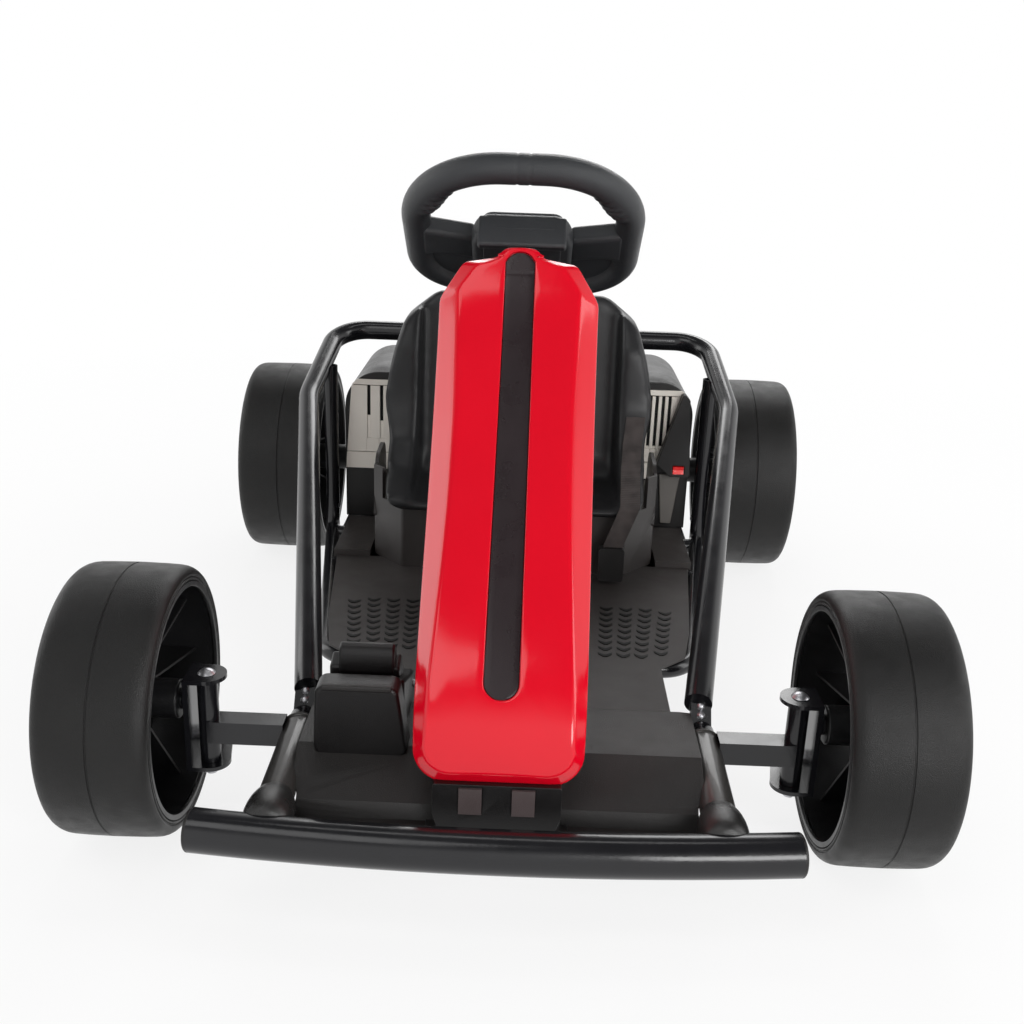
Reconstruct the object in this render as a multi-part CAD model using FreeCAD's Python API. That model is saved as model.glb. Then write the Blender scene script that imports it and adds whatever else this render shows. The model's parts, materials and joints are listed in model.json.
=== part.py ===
import FreeCAD, Part
import math
import os

# A child's electric kart, in millimetres. X points to the driver's left, Y to the rear and Z up.
# Pieces are drawn with Y = 0 at the front axle. save() then moves them so that the origin is on
# the ground under the middle of the kart, half way between the bumper and the rear tyres.

V = FreeCAD.Vector
os.makedirs("parts", exist_ok=True)

# ---------------------------------------------------------------- driving dimensions
WHEELBASE = 786.0
FRONT_TRACK = 708.0
REAR_TRACK = 706.0

FRONT_TYRE_RADIUS = 130.0
FRONT_TYRE_WIDTH = 102.0
REAR_TYRE_RADIUS = 145.0
REAR_TYRE_WIDTH = 119.0
TYRE_DEPTH = 16.0
TYRE_SHOULDER = 13.0
RIM_WALL = 4.0
RIM_DISC = 6.0
RIM_DISC_INSET = 24.0
HUB_RADIUS = 19.0
RIM_POCKETS = 5

AXLE_DIAMETER = 12.0
RUNNING_FIT = 0.08
SIDE_PLAY = 0.4

BUMPER_DIAMETER = 38.0
BUMPER_HALF_LENGTH = 257.0
BUMPER_BOW = 14.0
BUMPER_FRONT_Y = -169.0
BUMPER_Z = 90.0
TUBE_WALL = 1.8

STRUT_DIAMETER = 27.0
STRUT_FRONT_X = 195.0
STRUT_REAR_X = 198.0
STRUT_REAR_Y = 34.0
STRUT_Z = 95.0
BOOT_FLARE = 20.5
BOOT_LENGTH = 42.0

BEAM_SIZE = 23.0
BEAM_COPE = 1.5
BEAM_Z = 100.0
KINGPIN_DIAMETER = 10.0
KINGPIN_GAP = 20.0
BOSS_DIAMETER = 20.0
BOSS_BOTTOM_Z = 66.0
BOSS_TOP_Z = 154.0
EAR_THICKNESS = 4.0
EAR_RADIUS = 19.0
WEB_THICKNESS = 5.0

SIDE_TUBE_DIAMETER = 28.0
SIDE_TUBE_FRONT_X = 195.0
SIDE_TUBE_FRONT_Y = 46.0
SIDE_TUBE_FRONT_Z = 122.3
SIDE_TUBE_PLUG = 14.0
CRIMP_WIDTH = 20.0
CRIMP_THICKNESS = 10.0
HOOP_Z = 351.0
HOOP_AHEAD_OF_AXLE = 11.0
HOOP_CORNER_RADIUS = 52.0
HOOP_JOINT_X = 205.0
BEND_AHEAD_OF_AXLE = 200.0
BEND_RADIUS = 120.0

RAIL_DIAMETER = 20.0
RAIL_Z = 70.0
RAIL_FRONT_X = 211.0
FRONT_CROSS_Y = 225.0
RAIL_BEND_RADIUS = 38.0
POST_AHEAD_OF_AXLE = 118.0
POST_DIAMETER = 20.0
BACKBONE_X = 60.0
BACKBONE_WIDTH = 20.0
BACKBONE_BOTTOM_Z = 76.0
BACKBONE_TOP_Z = 92.0
RUNNER_SIZE = 20.0
RUNNER_INSET = 103.5
RUNNER_TAIL = 130.0

PAN_GAP = 0.2
PAN_THICKNESS = 3.0
HUMP_Z = 119.0
SHELF_STEP = 8.0

TIE_Y = 46.0
TIE_Z = 68.0
TIE_ROD_DIAMETER = 10.0
TIE_PIN_DIAMETER = 8.0
STEER_RANGE_DEG = 40.0
STEER_RATIO = 0.6
SLOT_CLEARANCE = 0.9

STEERING_WHEEL_Y = 370.0
STEERING_WHEEL_Z = 548.0
STEERING_WHEEL_WIDTH = 275.0
STEERING_WHEEL_HEIGHT = 266.0
GRIP_DIAMETER = 33.0
WHEEL_HUB_HALF = 61.0
WHEEL_HUB_TOP = -47.0
SPOKE_TOP = 3.0
COLUMN_DIAMETER = 14.0
SUPPORT_DIAMETER = 22.0
SUPPORT_OFFSET = 30.0
BUTTON_TRAVEL = 2.5
BUTTON_RADIUS = 9.0
BUTTON_X = 78.0
BUTTON_DOWN = 24.0

SEAT_HALF_WIDTH = 186.0
SEAT_LOWER_HALF = 176.0
SEAT_CAVITY_HALF_WIDTH = 138.0
SEAT_FLOOR_Z = 183.0
FAIRING_WALL = 3.0
CASING_WALL = 3.0
CASING_TOP_Z = 305.0
CASING_HUMP = 9.0
CASING_LENGTH = 212.0

BATTERY_SIZE = (150.0, 64.0, 94.0)

# ---------------------------------------------------------------- derived places
ORIGIN_Y = (WHEELBASE + REAR_TYRE_RADIUS + BUMPER_FRONT_Y - BUMPER_DIAMETER / 2.0) / 2.0
REAR_Y = WHEELBASE
KINGPIN_X = (FRONT_TRACK - FRONT_TYRE_WIDTH) / 2.0 - KINGPIN_GAP
WEB_X = KINGPIN_X + KINGPIN_GAP - WEB_THICKNESS - 1.0
REAR_INNER = (REAR_TRACK - REAR_TYRE_WIDTH) / 2.0
POST_X = REAR_INNER - 18.5
POST_Y = REAR_Y - POST_AHEAD_OF_AXLE
RUNNER_X = REAR_INNER - RUNNER_INSET
CASING_HALF = REAR_INNER - 35.5
CASING_FRONT_Y = REAR_Y - 96.0
SEAT_Y = REAR_Y - 336.0
HOOP_Y = REAR_Y - HOOP_AHEAD_OF_AXLE
BEND_Y = REAR_Y - BEND_AHEAD_OF_AXLE
BEND_X = REAR_INNER - 1.5
HOOP_CORNER_X = REAR_INNER - 13.5
SIDE_SLOPE = (HOOP_Z - SIDE_TUBE_FRONT_Z) / (HOOP_Y - SIDE_TUBE_FRONT_Y)
PAN_BOTTOM_Z = RAIL_Z + RAIL_DIAMETER / 2.0 + PAN_GAP
PAN_TOP_Z = PAN_BOTTOM_Z + PAN_THICKNESS
PAN_REAR_Y = SEAT_Y + 65.0
BASE_FRONT_Y = SEAT_Y + 30.0
RUNNER_TOP_Z = RAIL_Z + RUNNER_SIZE / 2.0

KNUCKLE_RANGE_DEG = STEER_RANGE_DEG * STEER_RATIO
CRANK_RADIUS = (TIE_Y * math.sin(math.radians(KNUCKLE_RANGE_DEG))
                / math.sin(math.radians(STEER_RANGE_DEG)))
REACH_Y = STEERING_WHEEL_Y - TIE_Y
REACH_Z = STEERING_WHEEL_Z - TIE_Z
COLUMN_TILT = (math.atan2(REACH_Z, REACH_Y)
               - math.asin(CRANK_RADIUS / math.hypot(REACH_Y, REACH_Z)))
COLUMN_AXIS = V(0, math.cos(COLUMN_TILT), math.sin(COLUMN_TILT))
CRANK_DOWN = V(0, math.sin(COLUMN_TILT), -math.cos(COLUMN_TILT))
COLUMN_BASE = V(0, TIE_Y, TIE_Z) - CRANK_DOWN * CRANK_RADIUS
WHEEL_CENTRE = V(0, STEERING_WHEEL_Y, STEERING_WHEEL_Z)
COLUMN_LENGTH = (WHEEL_CENTRE - COLUMN_BASE).Length


# ---------------------------------------------------------------- helpers
def box(x0, x1, y0, y1, z0, z1):
    return Part.makeBox(x1 - x0, y1 - y0, z1 - z0, V(x0, y0, z0))


def rod(start, end, diameter):
    along = end - start
    return Part.makeCylinder(diameter / 2.0, along.Length, start, along)


def tube(start, end, diameter, wall):
    return rod(start, end, diameter).cut(rod(start, end, diameter - 2 * wall))


def mirrored(shape):
    return shape.mirror(V(0, 0, 0), V(1, 0, 0))


def both(shape):
    return [shape, mirrored(shape)]


def fused(first, *others):
    return first.fuse(list(others)).removeSplitter()


def rounded_path(points, radii, closed=False):
    """Straight runs through the points, with an arc of the given radius at each corner."""
    count = len(points)
    corners = range(count) if closed else range(1, count - 1)
    arcs = {}
    for i in corners:
        back = (points[i - 1] - points[i]).normalize()
        ahead = (points[(i + 1) % count] - points[i]).normalize()
        half = back.getAngle(ahead) / 2.0
        radius = radii[i] if isinstance(radii, (list, tuple)) else radii
        if radius <= 0:
            arcs[i] = None
            continue
        trim = radius / math.tan(half)
        bisector = (back + ahead).normalize()
        middle = points[i] + bisector * (radius / math.sin(half) - radius)
        arcs[i] = (points[i] + back * trim, middle, points[i] + ahead * trim)
    edges = []
    order = list(range(count)) + ([0] if closed else [])
    for here, there in zip(order[:-1], order[1:]):
        start = arcs[here][2] if arcs.get(here) else points[here]
        end = arcs[there][0] if arcs.get(there) else points[there]
        if (end - start).Length > 1e-6:
            edges.append(Part.makeLine(start, end))
        if arcs.get(there):
            edges.append(Part.Arc(*arcs[there]).toShape())
    return Part.Wire(edges)


def bent_bar(points, radii, diameter, closed=False):
    """A round bar that follows a bent path."""
    path = rounded_path(points, radii, closed)
    start = path.Edges[0].valueAt(path.Edges[0].FirstParameter)
    along = path.Edges[0].tangentAt(path.Edges[0].FirstParameter)
    section = Part.Wire([Part.Circle(start, along, diameter / 2.0).toShape()])
    return path.makePipeShell([section], True, False)


def bent_tube(points, radii, diameter, wall):
    return bent_bar(points, radii, diameter).cut(bent_bar(points, radii, diameter - 2 * wall))


def front_prism(outline, y0, y1, radii=0):
    """Extrudes an outline given as (x, z) pairs along Y."""
    wire = rounded_path([V(x, y0, z) for x, z in outline], radii, True)
    return Part.Face(wire).extrude(V(0, y1 - y0, 0))


def side_prism(outline, x0, x1, radii=0):
    """Extrudes an outline given as (y, z) pairs along X."""
    wire = rounded_path([V(x0, y, z) for y, z in outline], radii, True)
    return Part.Face(wire).extrude(V(x1 - x0, 0, 0))


def top_prism(outline, z0, z1, radii=0):
    """Extrudes an outline given as (x, y) pairs along Z."""
    wire = rounded_path([V(x, y, z0) for x, y in outline], radii, True)
    return Part.Face(wire).extrude(V(0, 0, z1 - z0))


def turned(profile, radii=0):
    """Turns an outline given as (x, radius) pairs about the X axis."""
    wire = rounded_path([V(x, r, 0) for x, r in profile], radii, True)
    return Part.Face(wire).revolve(V(0, 0, 0), V(1, 0, 0), 360)


def hexagon(centre, axis, across_flats, height):
    """A hexagonal nut or bolt head."""
    corner = across_flats / math.sqrt(3)
    points = []
    for k in range(6):
        angle = math.radians(60 * k)
        points.append(V(corner * math.cos(angle), corner * math.sin(angle), 0))
    solid = Part.Face(Part.Wire(rounded_path(points, 0, True).Edges)).extrude(V(0, 0, height))
    solid.Placement = FreeCAD.Placement(centre, FreeCAD.Rotation(V(0, 0, 1), axis))
    return solid


def dome_bolt(seat, axis, diameter, length):
    """A bolt with a domed head resting at seat; its shank runs along axis."""
    head_radius = diameter * 0.85
    dome = Part.makeSphere(head_radius * 1.25, seat + axis * (head_radius * 0.75))
    cap = rod(seat, seat - axis * (diameter * 0.5), 2 * head_radius)
    return fused(dome.common(cap), rod(seat, seat + axis * length, diameter))


def save(name, *solids):
    pieces = []
    for solid in solids:
        pieces.extend(solid.Solids)
    shape = pieces[0] if len(pieces) == 1 else Part.makeCompound(pieces)
    shape.translate(V(0, -ORIGIN_Y, 0))
    shape.exportStep("parts/" + name + ".step")


def along_column(distance, down=0.0, across=0.0):
    """A point at a distance up the column, moved down its crank side and across."""
    return COLUMN_BASE + COLUMN_AXIS * distance + CRANK_DOWN * down + V(across, 0, 0)


def on_wheel_plane(shape):
    """Places a shape drawn flat (x across, y towards the driver's lap) on the column."""
    turn = FreeCAD.Rotation(V(1, 0, 0), math.degrees(COLUMN_TILT) - 90.0)
    shape.Placement = FreeCAD.Placement(WHEEL_CENTRE, turn)
    return shape


# ---------------------------------------------------------------- front frame
def bumper_path():
    half = BUMPER_HALF_LENGTH
    return Part.Arc(V(-half, BUMPER_FRONT_Y + BUMPER_BOW, BUMPER_Z), V(0, BUMPER_FRONT_Y, BUMPER_Z),
                    V(half, BUMPER_FRONT_Y + BUMPER_BOW, BUMPER_Z))


def bumper_bar(diameter):
    path = Part.Wire([bumper_path().toShape()])
    start = path.Edges[0].valueAt(path.Edges[0].FirstParameter)
    along = path.Edges[0].tangentAt(path.Edges[0].FirstParameter)
    section = Part.Wire([Part.Circle(start, along, diameter / 2.0).toShape()])
    return path.makePipeShell([section], True, False)


def bumper_plugs():
    radius = BUMPER_DIAMETER / 2.0 - TUBE_WALL
    end = V(BUMPER_HALF_LENGTH, BUMPER_FRONT_Y + BUMPER_BOW, BUMPER_Z)
    sweep = 2 * math.atan(BUMPER_BOW / BUMPER_HALF_LENGTH)
    outward = V(math.cos(sweep), math.sin(sweep), 0)
    stem = rod(end - outward * 16, end, 2 * radius)
    flange = rod(end, end + outward * 3.0, BUMPER_DIAMETER)
    flange = flange.makeFillet(2.2, [e for e in flange.Edges if e.CenterOfMass.x > end.x + 1.5
                                     and e.Length > 50 and (e.CenterOfMass - end).Length > 2.5])
    stem = stem.common(bumper_bar(2 * radius))
    return both(fused(stem, flange))


def strut_line():
    bow = BUMPER_BOW * (STRUT_FRONT_X / BUMPER_HALF_LENGTH) ** 2
    front = V(STRUT_FRONT_X, BUMPER_FRONT_Y + bow, STRUT_Z)
    rear = V(STRUT_REAR_X, STRUT_REAR_Y, STRUT_Z)
    return front, rear


def strut_core(diameter):
    front, rear = strut_line()
    return rod(front, rear, diameter)


def strut_bar(diameter):
    """A strut's outside, with its rounded rear end."""
    return fused(strut_core(diameter), Part.makeSphere(diameter / 2.0, strut_line()[1]))


def struts():
    inner = strut_core(STRUT_DIAMETER - 2 * TUBE_WALL)
    return both(strut_bar(STRUT_DIAMETER).cut(inner).cut(bumper_bar(BUMPER_DIAMETER)))


def boot_cone(growth):
    front, rear = strut_line()
    along = (rear - front).normalize()
    base = front + along * (BUMPER_DIAMETER / 2.0 + 2.0)
    top_radius = STRUT_DIAMETER / 2.0 + 2.0 + growth
    return Part.makeCone(BOOT_FLARE + growth, top_radius, BOOT_LENGTH + growth, base, along)


def strut_boots():
    return both(boot_cone(0).cut(strut_core(STRUT_DIAMETER)).cut(bumper_bar(BUMPER_DIAMETER)))


def kingpin(x, z0, z1, diameter):
    return rod(V(x, 0, z0), V(x, 0, z1), diameter)


def front_beam():
    """The square beam, in three lengths that are welded to the sides of the struts."""
    half = BEAM_SIZE / 2.0
    outer = box(-KINGPIN_X, KINGPIN_X, -half, half, BEAM_Z - half, BEAM_Z + half)
    inset = half - TUBE_WALL
    inner = box(-KINGPIN_X, KINGPIN_X, -inset, inset, BEAM_Z - inset, BEAM_Z + inset)
    beam = outer.cut(inner)
    strut_x = STRUT_REAR_X + (STRUT_FRONT_X - STRUT_REAR_X) * STRUT_REAR_Y / (STRUT_REAR_Y - BUMPER_FRONT_Y)
    reach = STRUT_DIAMETER / 2.0 - BEAM_COPE
    gap = box(strut_x - reach, strut_x + reach, -half - 1, half + 1, 0, 200)
    for core in both(strut_bar(STRUT_DIAMETER)) + both(gap) + both(kingpin(KINGPIN_X, 0, 300, BOSS_DIAMETER)):
        beam = beam.cut(core)
    return beam


def kingpin_bosses():
    outer = kingpin(KINGPIN_X, BOSS_BOTTOM_Z, BOSS_TOP_Z, BOSS_DIAMETER)
    return both(outer.cut(kingpin(KINGPIN_X, 0, 300, KINGPIN_DIAMETER + 0.4)))


def kingpin_bolts():
    top = BOSS_TOP_Z + EAR_THICKNESS + 2 * SIDE_PLAY
    bottom = BOSS_BOTTOM_Z - EAR_THICKNESS - 2 * SIDE_PLAY
    bolt = dome_bolt(V(KINGPIN_X, 0, top), V(0, 0, -1), KINGPIN_DIAMETER, top - bottom + 10)
    nut = hexagon(V(KINGPIN_X, 0, bottom - 7), V(0, 0, 1), 16, 7)
    nut = nut.cut(kingpin(KINGPIN_X, 0, 300, KINGPIN_DIAMETER))
    return both(bolt) + both(nut)


# ---------------------------------------------------------------- side tubes and hoop
def side_point(x, y):
    return V(x, y, SIDE_TUBE_FRONT_Z + SIDE_SLOPE * (y - SIDE_TUBE_FRONT_Y))


def side_path():
    return [side_point(SIDE_TUBE_FRONT_X, SIDE_TUBE_FRONT_Y), side_point(BEND_X, BEND_Y),
            side_point(HOOP_CORNER_X, HOOP_Y), side_point(HOOP_JOINT_X, HOOP_Y)]


def side_bar(diameter):
    return bent_bar(side_path(), [0, BEND_RADIUS, HOOP_CORNER_RADIUS, 0], diameter)


def crimp_line():
    """The flattened end of a side tube: its top, its foot on the strut, and the way it faces."""
    top = side_point(STRUT_REAR_X, SIDE_TUBE_FRONT_Y + 8.0)
    foot = strut_line()[1]
    along = top - foot
    return top, foot, V(0, -along.z, along.y).normalize()


def crimp():
    top, foot, out = crimp_line()
    half = out * (CRIMP_THICKNESS / 2.0)
    outline = [(p.y, p.z) for p in (top + half, foot + half, foot - half, top - half)]
    return side_prism(outline, foot.x - CRIMP_WIDTH / 2.0, foot.x + CRIMP_WIDTH / 2.0)


def side_bolts():
    """The two bolts through each side tube's flattened end."""
    top, foot, out = crimp_line()
    along = (top - foot).normalize()
    face = foot + out * (CRIMP_THICKNESS / 2.0)
    start = STRUT_DIAMETER / 2.0 + 4.2
    return [dome_bolt(face + along * (start + step), -out, 5.0, CRIMP_THICKNESS + 3.0) for step in (0.0, 9.6)]


def side_tubes():
    """The long bent tubes; their plugged and flattened front ends are bolted to the struts."""
    plug_end = SIDE_TUBE_FRONT_Y + SIDE_TUBE_PLUG
    hollow = side_bar(SIDE_TUBE_DIAMETER - 2 * TUBE_WALL).cut(box(0, 400, 0, plug_end, 0, 400))
    shape = side_bar(SIDE_TUBE_DIAMETER).cut(hollow)
    shape = fused(shape, crimp()).cut(strut_bar(STRUT_DIAMETER))
    for bolt in side_bolts():
        shape = shape.cut(bolt)
    return both(shape)


def rear_hoop():
    left = side_point(HOOP_JOINT_X, HOOP_Y)
    right = side_point(-HOOP_JOINT_X, HOOP_Y)
    spigot = SIDE_TUBE_DIAMETER - 2 * TUBE_WALL
    hoop = tube(right, left, SIDE_TUBE_DIAMETER, TUBE_WALL)
    reach = V(24, 0, 0)
    pegs = [tube(left - reach, left + reach, spigot, 2.0), tube(right - reach, right + reach, spigot, 2.0)]
    return fused(hoop, *pegs)


def rail_x(y):
    share = (y - FRONT_CROSS_Y) / (POST_Y - FRONT_CROSS_Y)
    return RAIL_FRONT_X + share * (POST_X - RAIL_FRONT_X)


def rail_path():
    tail = POST_Y + 12.0
    return [V(rail_x(tail), tail, RAIL_Z), V(RAIL_FRONT_X, FRONT_CROSS_Y, RAIL_Z),
            V(-RAIL_FRONT_X, FRONT_CROSS_Y, RAIL_Z), V(-rail_x(tail), tail, RAIL_Z)]


def rail_leg(diameter):
    front, rear = V(RAIL_FRONT_X, FRONT_CROSS_Y, RAIL_Z), rail_path()[0]
    return rod(front, rear, diameter)


def rail_bar(diameter):
    return bent_bar(rail_path(), RAIL_BEND_RADIUS, diameter)


def post_bolts():
    seat = V(POST_X - POST_DIAMETER / 2.0 + 1.0, POST_Y, RAIL_Z + 34)
    return [dome_bolt(seat, V(1, 0, 0), 6.0, POST_DIAMETER - 3.0)]


def rear_posts():
    top = side_point(POST_X, POST_Y)
    post = tube(V(POST_X, POST_Y, RAIL_Z), top, POST_DIAMETER, TUBE_WALL)
    post = post.cut(rail_bar(RAIL_DIAMETER)).cut(side_bar(SIDE_TUBE_DIAMETER))
    for bolt in post_bolts():
        post = post.cut(bolt)
    return both(post)


CROSS_AHEAD_OF_AXLE = (276.0, 146.0)


def cross_tube(y, diameter):
    reach = rail_x(y) if y < POST_Y else RUNNER_X
    return rod(V(-reach, y, RAIL_Z), V(reach, y, RAIL_Z), diameter)


def floor_frame_tubes():
    solids = []
    for ahead in CROSS_AHEAD_OF_AXLE:
        y = REAR_Y - ahead
        member = cross_tube(y, RAIL_DIAMETER).cut(cross_tube(y, RAIL_DIAMETER - 2 * TUBE_WALL))
        for leg in both(rail_leg(RAIL_DIAMETER)):
            member = member.cut(leg)
        solids.append(member)
    tail_y = REAR_Y + RUNNER_TAIL - 15.0
    tail = tube(V(-RUNNER_X, tail_y, RAIL_Z), V(RUNNER_X, tail_y, RAIL_Z), RAIL_DIAMETER, TUBE_WALL)
    for runner in both(runner_bar(0)):
        tail = tail.cut(runner)
    solids.append(tail)
    half = BACKBONE_WIDTH / 2.0
    bar = box(BACKBONE_X - half, BACKBONE_X + half, BEAM_SIZE / 2.0, FRONT_CROSS_Y,
              BACKBONE_BOTTOM_Z, BACKBONE_TOP_Z)
    hollow = box(BACKBONE_X - half + 2, BACKBONE_X + half - 2, BEAM_SIZE / 2.0, FRONT_CROSS_Y,
                 BACKBONE_BOTTOM_Z + 2, BACKBONE_TOP_Z - 2)
    solids += both(bar.cut(hollow).cut(rail_bar(RAIL_DIAMETER)))
    return solids


def runner_bar(wall):
    half = RUNNER_SIZE / 2.0 - wall
    start = REAR_Y - CROSS_AHEAD_OF_AXLE[0]
    return box(RUNNER_X - half, RUNNER_X + half, start, REAR_Y + RUNNER_TAIL, RAIL_Z - half, RAIL_Z + half)


def rear_runners():
    runner = runner_bar(0).cut(runner_bar(2.0))
    for ahead in CROSS_AHEAD_OF_AXLE:
        runner = runner.cut(cross_tube(REAR_Y - ahead, RAIL_DIAMETER))
    return both(runner)


AXLE_PLATE = 6.0


def axle_plates():
    inner = RUNNER_X + RUNNER_SIZE / 2.0
    outline = [(REAR_Y - 42, RAIL_Z - 10), (REAR_Y + 42, RAIL_Z - 10), (REAR_Y + 20, REAR_TYRE_RADIUS + 26),
               (REAR_Y - 20, REAR_TYRE_RADIUS + 26)]
    plate = side_prism(outline, inner, inner + AXLE_PLATE, [6, 6, 14, 14])
    return both(plate.cut(rear_axle_rod(AXLE_DIAMETER)))


def rear_axle_rod(diameter):
    reach = REAR_TRACK / 2.0 + REAR_TYRE_WIDTH / 2.0 - RIM_DISC_INSET + 14.0
    return rod(V(-reach, REAR_Y, REAR_TYRE_RADIUS), V(reach, REAR_Y, REAR_TYRE_RADIUS), diameter)


# ---------------------------------------------------------------- drive
GEARBOX_WIDTH = 44.0
MOTOR_DIAMETER = 44.0
MOTOR_BEHIND_AXLE = 52.0
MOTOR_LENGTH = 72.0


def gearbox_inner_x():
    return RUNNER_X + RUNNER_SIZE / 2.0 + AXLE_PLATE


def gearboxes():
    x0 = gearbox_inner_x()
    outline = [(REAR_Y - 34, REAR_TYRE_RADIUS - 36), (REAR_Y + 78, REAR_TYRE_RADIUS - 30),
               (REAR_Y + 84, REAR_TYRE_RADIUS + 30), (REAR_Y - 20, REAR_TYRE_RADIUS + 40)]
    case = side_prism(outline, x0, x0 + GEARBOX_WIDTH, [26, 22, 22, 26])
    seam = side_prism([(y, z) for y, z in outline], x0 + 20, x0 + 23, [26, 22, 22, 26])
    rim = seam.makeOffsetShape(2.0, 0.01).common(box(x0 + 20, x0 + 23, -2000, 2000, -500, 500))
    return both(fused(case, rim).cut(rear_axle_rod(AXLE_DIAMETER)))


def drive_motors():
    x1 = gearbox_inner_x()
    y = REAR_Y + MOTOR_BEHIND_AXLE + 6.0
    start = V(x1 - MOTOR_LENGTH, y, REAR_TYRE_RADIUS + 4)
    can = rod(start, V(x1, y, REAR_TYRE_RADIUS + 4), MOTOR_DIAMETER)
    tail = rod(start - V(6, 0, 0), start, MOTOR_DIAMETER * 0.45)
    return both(fused(can, tail))


# ---------------------------------------------------------------- wheels
def tyre(radius, width):
    half = width / 2.0
    profile = [(-half, radius - TYRE_DEPTH), (-half, radius), (half, radius), (half, radius - TYRE_DEPTH)]
    return turned(profile, [0, TYRE_SHOULDER, TYRE_SHOULDER, 0])


def rim(radius, width, hub_start, bore):
    """A dished wheel drawn at the origin; +X is its outer face."""
    half = width / 2.0
    seat = radius - TYRE_DEPTH
    barrel = turned([(-half, seat - RIM_WALL), (-half, seat), (half, seat), (half, seat - RIM_WALL)])
    disc_x = half - RIM_DISC_INSET
    disc = turned([(disc_x - RIM_DISC, 0), (disc_x - RIM_DISC, seat - RIM_WALL / 2.0),
                   (disc_x, seat - RIM_WALL / 2.0), (disc_x, 0)])
    hub = rod(V(hub_start, 0, 0), V(disc_x + 6.0, 0, 0), 2 * HUB_RADIUS)
    body = fused(barrel, disc, hub)
    pocket_middle = (HUB_RADIUS + seat) / 2.0
    pocket_radius = (seat - HUB_RADIUS) * 0.24
    for k in range(RIM_POCKETS):
        angle = 2 * math.pi * k / RIM_POCKETS
        place = V(0, pocket_middle * math.cos(angle), pocket_middle * math.sin(angle))
        body = body.cut(rod(place + V(disc_x - 20, 0, 0), place + V(disc_x + 10, 0, 0), 2 * pocket_radius))
    return body.cut(rod(V(-200, 0, 0), V(200, 0, 0), bore))


def hub_cap(width):
    """The closed cap over the axle nut, drawn with the wheel at the origin."""
    start = width / 2.0 - RIM_DISC_INSET
    shell = rod(V(start, 0, 0), V(start + 19, 0, 0), 56)
    outer_edges = [e for e in shell.Edges if e.CenterOfMass.x > start + 15 and e.Length > 100]
    shell = shell.makeFillet(4.0, outer_edges)
    return shell.cut(rod(V(start, 0, 0), V(start + 16, 0, 0), 50))


def wheel_set(radius, width, track, y, hub_start):
    """The tyre, the rim and the cap of a left wheel, in place."""
    bore = AXLE_DIAMETER + 2 * RUNNING_FIT
    pieces = [tyre(radius, width), rim(radius, width, hub_start, bore), hub_cap(width)]
    for piece in pieces:
        piece.translate(V(track / 2.0, y, radius))
    return pieces


def axle_nut(x, y, z):
    nut = hexagon(V(x, y, z), V(1, 0, 0), 18, 8)
    return nut.cut(rod(V(x - 5, y, z), V(x + 20, y, z), AXLE_DIAMETER))


def front_wheel():
    hub_start = WEB_X + WEB_THICKNESS + 6.0 + SIDE_PLAY - FRONT_TRACK / 2.0
    return wheel_set(FRONT_TYRE_RADIUS, FRONT_TYRE_WIDTH, FRONT_TRACK, 0.0, hub_start)


def rear_wheel():
    hub_start = gearbox_inner_x() + GEARBOX_WIDTH + 2 * SIDE_PLAY - REAR_TRACK / 2.0
    return wheel_set(REAR_TYRE_RADIUS, REAR_TYRE_WIDTH, REAR_TRACK, REAR_Y, hub_start)


def hub_end_x(track, width):
    return (track + width) / 2.0 - RIM_DISC_INSET + 6.0


# ---------------------------------------------------------------- steering
def knuckle():
    """The left knuckle: two ears, the web, the steering arm and the stub axle, welded."""
    z_low = BOSS_BOTTOM_Z - SIDE_PLAY
    z_high = BOSS_TOP_Z + SIDE_PLAY
    outline = [(KINGPIN_X, -EAR_RADIUS), (WEB_X, -EAR_RADIUS), (WEB_X, EAR_RADIUS), (KINGPIN_X, EAR_RADIUS)]
    ears = []
    for z in (z_high, z_low - EAR_THICKNESS):
        disc = kingpin(KINGPIN_X, z, z + EAR_THICKNESS, 2 * EAR_RADIUS)
        ears.append(fused(disc, top_prism(outline, z, z + EAR_THICKNESS)))
    arm = top_prism([(KINGPIN_X - EAR_RADIUS, 0), (KINGPIN_X + 14, 6), (KINGPIN_X + 10, TIE_Y),
                     (KINGPIN_X - 10, TIE_Y)], z_low - EAR_THICKNESS, z_low)
    arm_end = rod(V(KINGPIN_X, TIE_Y, z_low - EAR_THICKNESS), V(KINGPIN_X, TIE_Y, z_low), 20)
    web = box(WEB_X, WEB_X + WEB_THICKNESS, -EAR_RADIUS, EAR_RADIUS, z_low - EAR_THICKNESS,
              z_high + EAR_THICKNESS)
    face = WEB_X + WEB_THICKNESS
    z = FRONT_TYRE_RADIUS
    collar = rod(V(face, 0, z), V(face + 6.0, 0, z), AXLE_DIAMETER + 8)
    stub = rod(V(face, 0, z), V(hub_end_x(FRONT_TRACK, FRONT_TYRE_WIDTH) + 9.5, 0, z), AXLE_DIAMETER)
    body = fused(ears[0], ears[1], arm, arm_end, web, collar, stub)
    body = body.cut(kingpin(KINGPIN_X, 0, 300, KINGPIN_DIAMETER + 2 * RUNNING_FIT))
    return body.cut(tie_pin(0))


def tie_pin(clearance):
    size = TIE_PIN_DIAMETER + 2 * clearance
    low = BOSS_BOTTOM_Z - EAR_THICKNESS - 6.0
    return rod(V(KINGPIN_X, TIE_Y, low), V(KINGPIN_X, TIE_Y, TIE_Z + 6.0), size)


def tie_pin_with_head():
    low = BOSS_BOTTOM_Z - EAR_THICKNESS - SIDE_PLAY
    head = hexagon(V(KINGPIN_X, TIE_Y, low - 5.0), V(0, 0, 1), 13, 5.0)
    return fused(tie_pin(0), head)


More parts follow.
